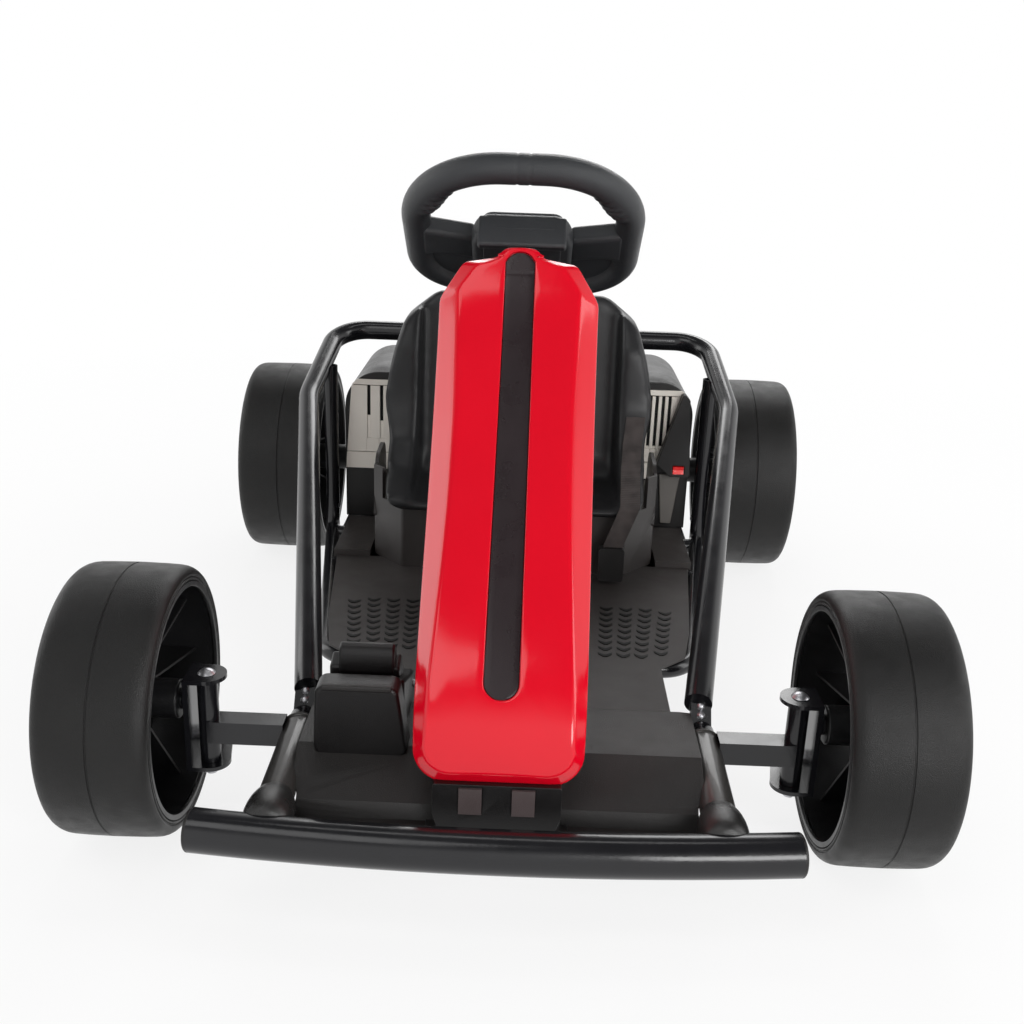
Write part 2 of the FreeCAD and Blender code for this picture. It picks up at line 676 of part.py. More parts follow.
def knuckle_pieces():
    nut = axle_nut(hub_end_x(FRONT_TRACK, FRONT_TYRE_WIDTH) + SIDE_PLAY, 0, FRONT_TYRE_RADIUS)
    return [knuckle(), tie_pin_with_head(), nut]


def tie_bar():
    half_plate = 20.0
    centre = V(0, TIE_Y, TIE_Z)
    flat = KINGPIN_X - 20.0
    halves = both(rod(V(flat, TIE_Y, TIE_Z), V(half_plate - 2, TIE_Y, TIE_Z), TIE_ROD_DIAMETER))
    eye = rod(V(KINGPIN_X, TIE_Y, TIE_Z - 2), V(KINGPIN_X, TIE_Y, TIE_Z + 2), 20)
    tab = box(flat - 6, KINGPIN_X, TIE_Y - 7, TIE_Y + 7, TIE_Z - 2, TIE_Z + 2)
    eyes = both(fused(eye, tab))
    rise = CRANK_RADIUS * (1 - math.cos(math.radians(STEER_RANGE_DEG)))
    reach = TIE_PIN_DIAMETER / 2.0 + SLOT_CLEARANCE
    plate = Part.makeBox(2 * half_plate, 34.0, 4.0, V(-half_plate, -18.0, -2.0))
    slot = Part.makeBox(2 * reach, 2 * reach + rise, 10.0, V(-reach, -reach - rise, -5.0))
    turn = FreeCAD.Rotation(V(1, 0, 0), math.degrees(COLUMN_TILT) - 90.0)
    for shape in (plate, slot):
        shape.Placement = FreeCAD.Placement(centre, turn)
    body = fused(plate, *(halves + eyes))
    for end in (1, -1):
        body = body.cut(rod(V(end * KINGPIN_X, TIE_Y, 0), V(end * KINGPIN_X, TIE_Y, 200),
                            TIE_PIN_DIAMETER + 2 * RUNNING_FIT))
    return body.cut(slot)


CRANK_START = 10.0
CRANK_THICKNESS = 6.0


def steering_column():
    shaft = rod(along_column(CRANK_START), along_column(COLUMN_LENGTH - 8.3), COLUMN_DIAMETER)
    low = along_column(CRANK_START)
    high = along_column(CRANK_START + CRANK_THICKNESS)
    root = rod(low, high, 20)
    tip = rod(low + CRANK_DOWN * CRANK_RADIUS, high + CRANK_DOWN * CRANK_RADIUS, 16)
    strap = Part.makeBox(15, CRANK_RADIUS, CRANK_THICKNESS, V(-7.5, 0, 0))
    turn = FreeCAD.Rotation(V(1, 0, 0), math.degrees(COLUMN_TILT) - 90.0)
    strap.Placement = FreeCAD.Placement(low, turn)
    pin = rod(along_column(-11, CRANK_RADIUS), along_column(CRANK_START, CRANK_RADIUS), TIE_PIN_DIAMETER)
    return fused(shaft, root, tip, strap, pin)


def support_rod(diameter):
    return rod(along_column(4, -SUPPORT_OFFSET), along_column(365, -SUPPORT_OFFSET), diameter)


def column_support():
    half = BEAM_SIZE / 2.0
    post = support_rod(SUPPORT_DIAMETER).cut(support_rod(SUPPORT_DIAMETER - 2 * TUBE_WALL))
    return post.cut(box(-200, 200, -60, half + 60, 0, BEAM_Z + half))


def column_bore():
    return rod(along_column(0), along_column(400), COLUMN_DIAMETER + 2 * RUNNING_FIT)


def column_bearings():
    bearings = []
    for start in (44.0, 340.0):
        low, high = along_column(start), along_column(start + 16)
        shift = CRANK_DOWN * -SUPPORT_OFFSET
        block = Part.makeBox(26, SUPPORT_OFFSET, 16, V(-13, -SUPPORT_OFFSET, 0))
        turn = FreeCAD.Rotation(V(1, 0, 0), math.degrees(COLUMN_TILT) - 90.0)
        block.Placement = FreeCAD.Placement(low, turn)
        body = fused(rod(low, high, 26), rod(low + shift, high + shift, SUPPORT_DIAMETER + 8), block)
        body = body.cut(support_rod(SUPPORT_DIAMETER))
        bearings.append(body.cut(column_bore()))
    return bearings


def steering_wheel():
    half_x = (STEERING_WHEEL_WIDTH - GRIP_DIAMETER) / 2.0
    half_y = (STEERING_WHEEL_HEIGHT - GRIP_DIAMETER) / 2.0
    corners = [V(0, -half_y, 0), V(-half_x, -half_y, 0), V(-half_x, half_y, 0), V(half_x, half_y, 0),
               V(half_x, -half_y, 0)]
    grip = bent_bar(corners, [0, 98, 62, 62, 98], GRIP_DIAMETER, True)
    plate = rounded_path([V(-half_x, -12, -8), V(-WHEEL_HUB_HALF, SPOKE_TOP, -8),
                          V(WHEEL_HUB_HALF, SPOKE_TOP, -8), V(half_x, -12, -8),
                          V(half_x, half_y, -8), V(-half_x, half_y, -8)], [0, 20, 20, 0, 62, 62], True)
    body = fused(grip, Part.Face(plate).extrude(V(0, 0, 16)))
    for side in (-1, 1):
        seat = V(side * BUTTON_X, BUTTON_DOWN, 3.0)
        body = body.cut(Part.makeCylinder(BUTTON_RADIUS + SIDE_PLAY, 10, seat))
    return on_wheel_plane(body)


def wheel_hub_shells():
    front = Part.makeBox(2 * WHEEL_HUB_HALF, 54 - WHEEL_HUB_TOP, 27.7,
                         V(-WHEEL_HUB_HALF, WHEEL_HUB_TOP, -36.0))
    front = front.makeFillet(24, [e for e in front.Edges if abs(e.BoundBox.ZLength - 27.7) < 0.1])
    front = front.cut(Part.makeCylinder(COLUMN_DIAMETER / 2.0, 40, V(0, 0, -40)))
    pad = Part.makeBox(92, 66, 8, V(-46, -10, 8.3))
    pad = pad.makeFillet(10, [e for e in pad.Edges if abs(e.BoundBox.ZLength - 8) < 0.1])
    return [on_wheel_plane(front), on_wheel_plane(pad)]


def horn_button(side):
    button = Part.makeCylinder(BUTTON_RADIUS, 7.6, V(side * BUTTON_X, BUTTON_DOWN, 3.2 + BUTTON_TRAVEL))
    return on_wheel_plane(button)


# ---------------------------------------------------------------- body panels
PAN_SPLIT_X = 73.0
NOSE_BOX_HALF = 56.0


def floor_pan():
    """The moulded floor: a flat tread area, a front hump over the beam and two rear shelves."""
    rear_half = rail_x(PAN_REAR_Y) - 9.0
    half = [(PAN_SPLIT_X, FRONT_CROSS_Y + 3), (PAN_SPLIT_X, 95), (176, 95), (176, FRONT_CROSS_Y - 22),
            (RAIL_FRONT_X - 4, FRONT_CROSS_Y + 7), (rail_x(FRONT_CROSS_Y + 80) - 2, FRONT_CROSS_Y + 80),
            (rear_half, PAN_REAR_Y)]
    outline = half + [(-x, y) for x, y in reversed(half)]
    pan = top_prism(outline, PAN_BOTTOM_Z, PAN_TOP_Z)
    upper = [(-128, 77), (-128, 80), (-112, 80), (-106, 93), (-52, HUMP_Z), (32, HUMP_Z), (100, PAN_TOP_Z)]
    lower = [(y, z - PAN_THICKNESS) for y, z in reversed(upper[4:])] + [(-103, 91), (-109, 77)]
    hump = side_prism(upper + lower, NOSE_BOX_HALF + PAN_GAP, 186)
    hump = hump.cut(box(0, PAN_SPLIT_X, -62, 200, 0, 200))
    hump = hump.cut(strut_bar(STRUT_DIAMETER + 2.0)).cut(boot_cone(1.0))
    shelf = box(SEAT_HALF_WIDTH + 12, rear_half + 4, PAN_REAR_Y, CASING_FRONT_Y - 34, PAN_BOTTOM_Z,
                PAN_TOP_Z + SHELF_STEP)
    shelf = shelf.cut(box(SEAT_HALF_WIDTH + 15, rear_half + 1, PAN_REAR_Y + 3, CASING_FRONT_Y - 37,
                          PAN_BOTTOM_Z, PAN_TOP_Z + SHELF_STEP - PAN_THICKNESS))
    return fused(pan, *(both(hump) + both(shelf)))


def nose_box():
    half = NOSE_BOX_HALF
    outline = [(-half, 98), (6 - half, 80), (half - 6, 80), (half, 98), (half, 127.7), (-half, 127.7)]
    shell = front_prism(outline, -128, -62, [5, 5, 5, 5, 3, 3])
    cavity = front_prism([(x * 0.94, 101 + (z - 101) * 0.9) for x, z in outline], -124, -62)
    shell = shell.cut(cavity)
    for bar in nose_bars():
        shell = shell.cut(bar)
    return shell


def nose_bars():
    return both(box(13, 33, -130.5, -125.5, 100, 125))


def fairing_profile():
    points = [(-118, 128), (-110, 175), (-70, 229), (50, 328), (140, 403), (185, 445), (232, 500),
              (256, 543)]
    curve = Part.BSplineCurve()
    curve.interpolate([V(0, y, z) for y, z in points])
    return curve


FAIRING_STATIONS = (0.0, 0.1, 0.25, 0.45, 0.65, 0.85, 1.0)
FAIRING_BOTTOM_HALF = 73.0
FAIRING_TOP_HALF = 84.0
FAIRING_BEVEL = 18.0


def fairing_body(inset):
    """The solid hood; inset shrinks it evenly to make the inside of the shell."""
    curve = fairing_profile()
    length = curve.length()
    wires = []
    for share in FAIRING_STATIONS:
        t = curve.parameterAtDistance(length * share)
        spot = curve.value(t)
        along = curve.tangent(t)[0]
        normal = V(0, -along.z, along.y)
        half = FAIRING_BOTTOM_HALF + (FAIRING_TOP_HALF - FAIRING_BOTTOM_HALF) * share - inset
        depth = 42.0 + 70.0 * math.sin(math.pi * min(share, 0.92) * 0.9)
        spot = spot - normal * inset
        bevel = FAIRING_BEVEL
        section = [(half, -depth - inset * 12), (half, -bevel), (half - bevel, 0), (-half + bevel, 0),
                   (-half, -bevel),
                   (-half, -depth - inset * 12)]
        points = [spot + V(x, 0, 0) + normal * b for x, b in section]
        wires.append(Part.makePolygon(points + [points[0]]))
    return Part.makeLoft(wires, True, False)


def fairing_outline(y0, y1):
    half = FAIRING_TOP_HALF + 4
    outline = [(-half, 128), (half, 128), (half, 494), (58, 529), (20, 531), (17, 546), (-17, 546),
               (-20, 531),
               (-58, 529), (-half, 494)]
    return front_prism(outline, y0, y1, [34, 34, 8, 12, 3, 9, 9, 3, 12, 8])


STRIP_HALF = 15.5


def strip_band(outer, inner, half, bottom, top):
    """A band that follows the hood's profile between two depths."""
    curve = fairing_profile()
    length = curve.length()
    rows = []
    for offset in (outer, inner):
        row = []
        for k in range(13):
            t = curve.parameterAtDistance(length * k / 12.0)
            along = curve.tangent(t)[0]
            row.append(curve.value(t) + V(0, -along.z, along.y) * offset)
        rows.append(row)
    edges = []
    for row in rows:
        spline = Part.BSplineCurve()
        spline.interpolate(row)
        edges.append(spline.toShape())
    wire = Part.Wire([edges[0], Part.makeLine(rows[0][-1], rows[1][-1]), edges[1],
                      Part.makeLine(rows[1][0], rows[0][0])])
    band = Part.Face(wire).extrude(V(2 * half, 0, 0))
    band.translate(V(-half, 0, 0))
    mask = front_prism([(-half, bottom), (half, bottom), (half, top), (-half, top)], -400, 600, half * 0.96)
    return band.common(mask)


def fairing():
    shell = fairing_body(0).cut(fairing_body(FAIRING_WALL))
    shell = shell.common(fairing_outline(-400, 600))
    groove = strip_band(3.0, -1.6, STRIP_HALF + 0.3, 196, 541)
    return shell.cut(groove)


def fairing_strip():
    return strip_band(0.2, -1.3, STRIP_HALF, 196.5, 540.5)


def fairing_stays():
    """The front shelf plate on the beam and the boss that carries the hood's top."""
    half = BEAM_SIZE / 2.0
    shelf = box(-26, 26, -61.7, -half, BEAM_Z, BEAM_Z + 3)
    lip = box(-26, 26, -61.7, -58.7, BEAM_Z, 150)
    ears = both(box(26, FAIRING_BOTTOM_HALF - 4.5, -61.7, -58.7, 133, 150))
    lower = fused(shelf, lip, *ears)
    start = along_column(320, -SUPPORT_OFFSET)
    boss = rod(start, start - CRANK_DOWN * 80, 18).cut(support_rod(SUPPORT_DIAMETER))
    boss = boss.common(fairing_body(FAIRING_WALL + 0.2))
    return [lower, boss]


# ---------------------------------------------------------------- seat
def seat_side(inset=0.0):
    """The seat's outer outline seen from the side, grown by inset."""
    y = SEAT_Y
    outline = [(y + 8, 170), (y + 200, 170), (y + 222, 205), (y + 232, 428), (y + 206, 435), (y + 172, 416),
               (y + 140, 366), (y + 132, 290), (y + 108, 244), (y + 66, 215), (y, 186)]
    wire = rounded_path([V(0, v, z) for v, z in outline], [4, 14, 10, 10, 16, 30, 30, 20, 20, 20, 6], True)
    face = Part.Face(wire)
    return face.makeOffset2D(inset) if inset else face


def seat_bowl():
    """The hollow where the driver sits: a level floor that curves up into the backrest."""
    y = SEAT_Y
    outline = [(y - 60, SEAT_FLOOR_Z), (y + 142, SEAT_FLOOR_Z), (y + 164, 206), (y + 206, 470),
               (y - 60, 470)]
    return side_prism(outline, -SEAT_CAVITY_HALF_WIDTH, SEAT_CAVITY_HALF_WIDTH, [0, 24, 24, 0, 0])


def seat():
    y = SEAT_Y
    widest = SEAT_HALF_WIDTH
    body = seat_side().extrude(V(2 * widest + 10, 0, 0))
    body.translate(V(-widest - 5, 0, 0))
    body = body.cut(seat_bowl())
    lower = SEAT_LOWER_HALF
    front = [(2 - lower, 168), (lower - 2, 168), (lower, 218), (widest - 8, 248), (widest + 1, 290),
             (widest - 8, 345), (widest - 23, 397), (widest - 72, 436), (72 - widest, 436),
             (23 - widest, 397),
             (8 - widest, 345), (-widest - 1, 290), (8 - widest, 248), (-lower, 218)]
    mask = front_prism(front, y - 50, y + 300, [36, 36, 14, 12, 24, 24, 24, 30, 30, 24, 24, 24, 12, 14])
    return body.common(mask)


WING_THICKNESS = 5.0
WING_SLOT_Y = BASE_FRONT_Y + 64.0


def seat_base():
    """The hollow box under the seat, with side wings that hold the seat's flanks."""
    y = BASE_FRONT_Y
    top = 169.7
    inner = SEAT_HALF_WIDTH + 2.3
    half = inner + WING_THICKNESS
    outline = [(-150, y), (150, y), (half, y + 46), (half, y + 160), (-half, y + 160), (-half, y + 46)]
    shell = top_prism(outline, PAN_TOP_Z + 0.2, top, [8, 8, 14, 8, 8, 14])
    hollow = [(-147, y + 4), (147, y + 4), (half - 4, y + 49), (half - 4, y + 156), (4 - half, y + 156),
              (4 - half, y + 49)]
    shell = shell.cut(top_prism(hollow, PAN_TOP_Z, top - 4, [6, 6, 10, 4, 4, 10]))
    side = [(y + 40, 140), (y + 152, 140), (y + 132, 226), (y + 58, 222)]
    wing = side_prism(side, inner, half, [4, 4, 24, 24])
    reach = half - SEAT_LOWER_HALF - 4.0
    fold = [(half, y + 46), (half - reach, y + 46 - reach * 1.06), (half - reach - 3.6, y + 49.4 - reach * 1.06),
            (half - 3.6, y + 49.4), (half - 3.6, y + 60), (half, y + 60)]
    fold = top_prism(fold, top - 2, 212)
    shell = fused(shell, *(both(wing) + both(fold)))
    for side in both(box(inner - 10, half + 10, WING_SLOT_Y - 2.6, WING_SLOT_Y + 2.6, 176, 198)):
        shell = shell.cut(side)
    return shell


def seat_bolts():
    """The two screws that slide in the wings' slots and clamp the seat."""
    face = SEAT_HALF_WIDTH + 2.3 + WING_THICKNESS
    return both(dome_bolt(V(face, WING_SLOT_Y, 190), V(-1, 0, 0), 5.2, WING_THICKNESS + 2.0))


STRAP_GAP = 0.3
STRAP_THICKNESS = 2.2
STRAP_WIDTH = 26.0
STRAP_X = 152.5
BUCKLE_X = 131.0
LOOSE_STRAP_X = -30.0


def harness_strap():
    """The lap strap, which lies over the left hip bolster and hangs down in front of the seat."""
    y = SEAT_Y
    half = STRAP_WIDTH / 2.0
    band = seat_side(STRAP_GAP + STRAP_THICKNESS).cut(seat_side(STRAP_GAP))
    window = Part.Face(rounded_path([V(0, y - 20, 183), V(0, y + 40, 183), V(0, y + 126, 250),
                                     V(0, y + 134, 280),
                                     V(0, y + 60, 280), V(0, y - 20, 240)], 0, True))
    band = band.common(window).extrude(V(100, 0, 0))
    band.translate(V(100, 0, 0))
    nose = band.BoundBox.YMin
    tail = box(100, 200, nose, nose + STRAP_THICKNESS, 134, 184)
    slant = [(BUCKLE_X - half, 130), (BUCKLE_X + half, 130), (STRAP_X + half, 190),
             (STRAP_X + half + 12, 290),
             (STRAP_X - half + 12, 290), (STRAP_X - half, 190)]
    return fused(band, tail).common(front_prism(slant, y - 50, y + 300))


def loose_strap():
    """The other half of the lap belt, which lies on the seat's floor."""
    half = STRAP_WIDTH / 2.0
    return box(LOOSE_STRAP_X - half, LOOSE_STRAP_X + half, SEAT_Y + 40, SEAT_Y + 118,
               SEAT_FLOOR_Z, SEAT_FLOOR_Z + STRAP_THICKNESS)


def harness_tongue():
    """The steel blade on the end of the loose strap; it clips into the buckle."""
    x, y = LOOSE_STRAP_X, SEAT_Y + 39.7
    blade = box(x - 10, x + 10, y - 30, y, SEAT_FLOOR_Z, SEAT_FLOOR_Z + 2)
    return blade.cut(box(x - 5, x + 5, y - 24, y - 16, SEAT_FLOOR_Z, SEAT_FLOOR_Z + 2))


def harness_buckle():
    half = STRAP_WIDTH / 2.0 + 4
    body = box(BUCKLE_X - half, BUCKLE_X + half, SEAT_Y - 7, SEAT_Y + 7, 88, 133.7)
    return body.makeFillet(4, [e for e in body.Edges if abs(e.BoundBox.YLength - 14) < 0.1])


# ---------------------------------------------------------------- rear casing
def casing_outline(inset):
    half = CASING_HALF - inset
    top = CASING_TOP_Z - inset
    hump = CASING_TOP_Z + CASING_HUMP - inset
    return [(-half, RUNNER_TOP_Z + 0.3), (half, RUNNER_TOP_Z + 0.3), (half, top), (134, top), (128, hump),
            (-128, hump), (-134, top), (-half, top)]


def rear_casing():
    corner = 52.0
    y0 = CASING_FRONT_Y
    y1 = y0 + CASING_LENGTH
    outer = front_prism(casing_outline(0), y0, y1, [0, 0, corner, 4, 6, 6, 4, corner])
    inner = front_prism(casing_outline(CASING_WALL), y0 + CASING_WALL, y1 - CASING_WALL,
                        [0, 0, corner - CASING_WALL, 2, 3, 3, 2, corner - CASING_WALL])
    inner = fused(inner, box(-CASING_HALF + 3, CASING_HALF - 3, y0 + 3, y1 - 3, 60, 100))
    shell = outer.cut(inner)
    notch = box(CASING_HALF - 10, CASING_HALF + 10, REAR_Y - 30, REAR_Y + 30, 0, REAR_TYRE_RADIUS + 30)
    for cut in both(notch):
        shell = shell.cut(cut)
    return shell


VENT_INNER_X = 150.0
VENT_THICKNESS = 4.0


def vent_panels():
    y1 = CASING_FRONT_Y - 0.3
    half = CASING_HALF - 1.0
    panel = front_prism([(VENT_INNER_X, 158), (half, 158), (half - 9, 283), (half - 17, 294),
                         (VENT_INNER_X, 294)],
                        y1 - VENT_THICKNESS, y1, [2, 2, 8, 8, 2])
    pitch = 14.0
    slots = int((half - 14 - VENT_INNER_X) / pitch)
    for k in range(slots):
        x = half - 20 - pitch * k
        panel = panel.cut(box(x - 5, x - 1.5, y1 - 10, y1 + 10, 236, 286))
    return both(panel)


def switch_pod():
    y1 = CASING_FRONT_Y - 0.6 - VENT_THICKNESS
    outline = [(CASING_HALF - 18, 296), (CASING_HALF - 8, 284), (CASING_HALF, 168), (CASING_HALF - 30, 167),
               (CASING_HALF - 51, 186)]
    pod = front_prism(outline, y1 - 17, y1, [4, 4, 4, 4, 4])
    x, z = CASING_HALF - 18, 178
    return pod.cut(box(x - 8.6, x + 8.6, y1 - 18, y1 - 8, z - 6.6, z + 6.6))


ROCKER_HALF_WIDTH = 8.0


def power_rocker():
    y1 = CASING_FRONT_Y - 0.6 - VENT_THICKNESS - 17
    x, z = CASING_HALF - 18, 178
    outline = [(y1 + 6.5, z - 5.6), (y1 + 6.5, z + 5.6), (y1 - 1.4, z + 5.6), (y1 + 0.6, z),
               (y1 - 1.4, z - 5.6)]
    return side_prism(outline, x - ROCKER_HALF_WIDTH, x + ROCKER_HALF_WIDTH)


TRAY_THICKNESS = 2.0


def battery_tray():
    top = RUNNER_TOP_Z + 0.3
    reach = RUNNER_X - 30
    plate = box(-reach - 30, reach + 30, CASING_FRONT_Y + 4, REAR_Y - 12, top, top + TRAY_THICKNESS)
    back = box(-reach - 30, reach + 30, REAR_Y + 30, REAR_Y + 112, top, top + TRAY_THICKNESS)
    links = both(box(60, 80, REAR_Y - 12, REAR_Y + 30, top, top + TRAY_THICKNESS))
    return fused(plate, back, *links)


def battery_pack():
    width, depth, height = BATTERY_SIZE
    z0 = RUNNER_TOP_Z + 0.3 + TRAY_THICKNESS
    y0 = CASING_FRONT_Y + 8
    body = box(2, 2 + width, y0, y0 + depth, z0, z0 + height)
    posts = [box(12, 18, y0 + 6, y0 + 12, z0 + height, z0 + height + 4),
             box(width - 12, width - 6, y0 + 6, y0 + 12, z0 + height, z0 + height + 4)]
    return both(fused(body, *posts))


def motor_controller():
    z0 = RUNNER_TOP_Z + 0.3 + TRAY_THICKNESS
    case = box(-48, 48, REAR_Y + 36, REAR_Y + 104, z0, z0 + 26)
    fins = [box(-44 + 11 * k, -40 + 11 * k, REAR_Y + 38, REAR_Y + 102, z0 + 26, z0 + 32) for k in range(9)]
    return fused(case, *fins)


# ---------------------------------------------------------------- accelerator pedal
PEDAL_X = -128.0
PEDAL_HALF = 40.0
PEDAL_CHEEK = 3.0
PEDAL_PIVOT_Y = 45.0
PEDAL_PIVOT_Z = HUMP_Z + 14.0
PEDAL_PIN = 8.0


def pedal_pin():
    return rod(V(PEDAL_X - PEDAL_HALF, PEDAL_PIVOT_Y, PEDAL_PIVOT_Z),
               V(PEDAL_X + PEDAL_HALF, PEDAL_PIVOT_Y, PEDAL_PIVOT_Z), PEDAL_PIN)


def pedal_housing():
    x0, x1 = PEDAL_X - PEDAL_HALF, PEDAL_X + PEDAL_HALF
    z0 = HUMP_Z + 0.2
    back = PEDAL_PIVOT_Y + PEDAL_PIN / 2.0 + 7.0
    outline = [(-55, z0), (back, z0), (back, PEDAL_PIVOT_Z + 11), (28, PEDAL_PIVOT_Z + 20), (-33, 187),
               (-55, 187)]
    body = side_prism(outline, x0, x1, [2, 3, 8, 20, 4, 12])
    cavity = side_prism([(-51, z0 + 3), (80, z0 + 3), (80, 240), (-34, 240), (-34, 183), (-51, 183)],
                        x0 + PEDAL_CHEEK, x1 - PEDAL_CHEEK)
    return body.cut(cavity).cut(pedal_pin())


def accelerator_pedal():
    pivot = V(0, PEDAL_PIVOT_Y, PEDAL_PIVOT_Z)
    tip = V(0, -8, 197)
    along = (tip - pivot).normalize()
    face = V(0, along.z, -along.y)
    length = (tip - pivot).Length
    corners = [pivot + face * 3, pivot + along * length + face * 3, pivot + along * length - face * 2,
               pivot - face * 2]
    plate = side_prism([(c.y, c.z) for c in corners], PEDAL_X - 31, PEDAL_X + 31)
    left_end = PEDAL_X + PEDAL_HALF - PEDAL_CHEEK - 18
    hub = rod(V(PEDAL_X - PEDAL_HALF + PEDAL_CHEEK + SIDE_PLAY, pivot.y, pivot.z),
              V(left_end, pivot.y, pivot.z), PEDAL_PIN + 7)
    plate = plate.cut(box(left_end, 0, pivot.y - 9.5, pivot.y + 20, pivot.z - 20, pivot.z + 9.5))
    body = fused(plate, hub)
    return body.cut(rod(V(-300, pivot.y, pivot.z), V(0, pivot.y, pivot.z), PEDAL_PIN + 2 * RUNNING_FIT))


def pedal_spring():
    """The torsion spring's coils, side by side on the pin."""
    coils = []
    wire = 1.6
    radius = PEDAL_PIN / 2.0 + wire / 2.0 + 0.1
    start = PEDAL_X + PEDAL_HALF - PEDAL_CHEEK - 16.5
    for k in range(8):
        centre = V(start + wire / 2.0 + k * 1.9, PEDAL_PIVOT_Y, PEDAL_PIVOT_Z)
        coils.append(Part.makeTorus(radius, wire / 2.0, centre, V(1, 0, 0)))
    link = rod(V(start + 0.5, PEDAL_PIVOT_Y - radius, PEDAL_PIVOT_Z),
               V(start + 14.5, PEDAL_PIVOT_Y - radius, PEDAL_PIVOT_Z), wire * 0.8)
    return fused(coils[0], *(coils[1:] + [link]))


# ---------------------------------------------------------------- fasteners of the frame
def frame_bolts():
    solids = []
    for bolt in side_bolts() + post_bolts():
        solids += both(bolt)
    solids += seat_bolts()
    nut = axle_nut(hub_end_x(REAR_TRACK, REAR_TYRE_WIDTH) + SIDE_PLAY, REAR_Y, REAR_TYRE_RADIUS)
    return solids + both(nut)


# ---------------------------------------------------------------- write every node
def write_frame():
    save("front_bumper", bumper_bar(BUMPER_DIAMETER).cut(bumper_bar(BUMPER_DIAMETER - 2 * TUBE_WALL)))
    save("bumper_end_plugs", *bumper_plugs())
    save("front_struts", *struts())
    save("strut_boots", *strut_boots())
    save("front_beam", front_beam())
    save("kingpin_bosses", *kingpin_bosses())
    save("kingpin_bolts", *kingpin_bolts())
    left, right = side_tubes()
    save("side_tube_left", left)
    save("side_tube_right", right)
    save("rear_hoop", rear_hoop())
    save("rear_posts", *rear_posts())
    save("floor_rail_tube", rail_bar(RAIL_DIAMETER).cut(rail_bar(RAIL_DIAMETER - 2 * TUBE_WALL)))
    save("floor_frame_tubes", *floor_frame_tubes())
    save("rear_runners", *rear_runners())
    save("axle_plates", *axle_plates())
    save("rear_axle", rear_axle_rod(AXLE_DIAMETER))
    save("frame_bolts", *frame_bolts())


def write_body():
    save("floor_pan", floor_pan())
    save("nose_box", nose_box())
    save("nose_bars", *nose_bars())
    save("fairing", fairing())
    save("fairing_strip", fairing_strip())
    save("fairing_stays", *fairing_stays())
    save("seat", seat())
    save("seat_base", seat_base())
    save("harness_straps", harness_strap(), loose_strap())
    save("harness_buckle", harness_buckle())
    save("harness_tongue", harness_tongue())
    save("rear_casing", rear_casing())
    save("vent_panels", *vent_panels())
    save("switch_pod", switch_pod())
    save("power_rocker", power_rocker())


def write_drive():
    save("gearboxes", *gearboxes())
    save("drive_motors", *drive_motors())
    save("battery_tray", battery_tray())
    save("battery_pack", *battery_pack())
    save("motor_controller", motor_controller())
    save("pedal_housing", pedal_housing())
    save("pedal_pin", pedal_pin())
    save("pedal_spring", pedal_spring())
    save("accelerator_pedal", accelerator_pedal())


def write_steering():
    save("column_support", column_support())
    save("column_bearings", *column_bearings())
    save("steering_column", steering_column())
    save("steering_wheel", steering_wheel())
    save("wheel_hub_shells", *wheel_hub_shells())
    save("horn_button_left", horn_button(1))
    save("horn_button_right", horn_button(-1))
    pieces = knuckle_pieces()
    save("knuckle_left", *pieces)
    save("knuckle_right", *[mirrored(piece) for piece in pieces])
    save("tie_bar", tie_bar())


def write_wheels():
    for end, wheel in (("front", front_wheel()), ("rear", rear_wheel())):
        tread, disc, cap = wheel
        for side in ("left", "right"):
            flip = (lambda shape: shape) if side == "left" else mirrored
            save(end + "_tyre_" + side, flip(tread))
            save(end + "_rim_" + side, flip(disc), flip(cap))


write_frame()
write_body()
write_drive()
write_steering()
write_wheels()
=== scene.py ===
"""How a child's electric kart looks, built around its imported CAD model."""
import json
import math
from collections import namedtuple
import bmesh
import bpy
import numpy as np
from mathutils import Matrix, Vector


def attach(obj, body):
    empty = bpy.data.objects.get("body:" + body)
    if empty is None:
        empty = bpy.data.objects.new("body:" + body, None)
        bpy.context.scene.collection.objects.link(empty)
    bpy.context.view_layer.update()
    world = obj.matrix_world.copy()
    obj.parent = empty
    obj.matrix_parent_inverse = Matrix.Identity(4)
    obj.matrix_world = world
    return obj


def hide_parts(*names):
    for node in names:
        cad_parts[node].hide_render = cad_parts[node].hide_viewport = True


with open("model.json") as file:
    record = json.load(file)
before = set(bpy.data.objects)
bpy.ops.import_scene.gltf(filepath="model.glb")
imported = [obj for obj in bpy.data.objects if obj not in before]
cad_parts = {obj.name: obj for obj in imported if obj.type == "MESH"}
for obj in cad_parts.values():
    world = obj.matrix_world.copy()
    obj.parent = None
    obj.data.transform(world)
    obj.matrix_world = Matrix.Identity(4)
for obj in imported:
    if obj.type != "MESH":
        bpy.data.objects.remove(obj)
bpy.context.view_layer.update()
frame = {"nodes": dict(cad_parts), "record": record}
NODES = frame["nodes"]
SLOT_OF = {part["node"]: part["material_slot"] for part in frame["record"]["subparts"]}
SLOTS = {entry["slot"] for entry in frame["record"]["materials"]}
SIDES = (("left", 1), ("right", -1))

# Lengths are in millimetres, with y measured from the front axle, as the CAD is drawn.
MM = 0.001
ORIGIN_Y = 371.5


def kart_point(x, y, z):
    """A point in the row frame, in metres."""
    return Vector((x, y - ORIGIN_Y, z)) * MM


def from_front(x, z, y):
    """Places an outline that is seen from the front and drawn out along y."""
    return kart_point(x, y, z)


def from_side(y, z, x):
    """Places an outline that is seen from the side and drawn out along x."""
    return kart_point(x, y, z)


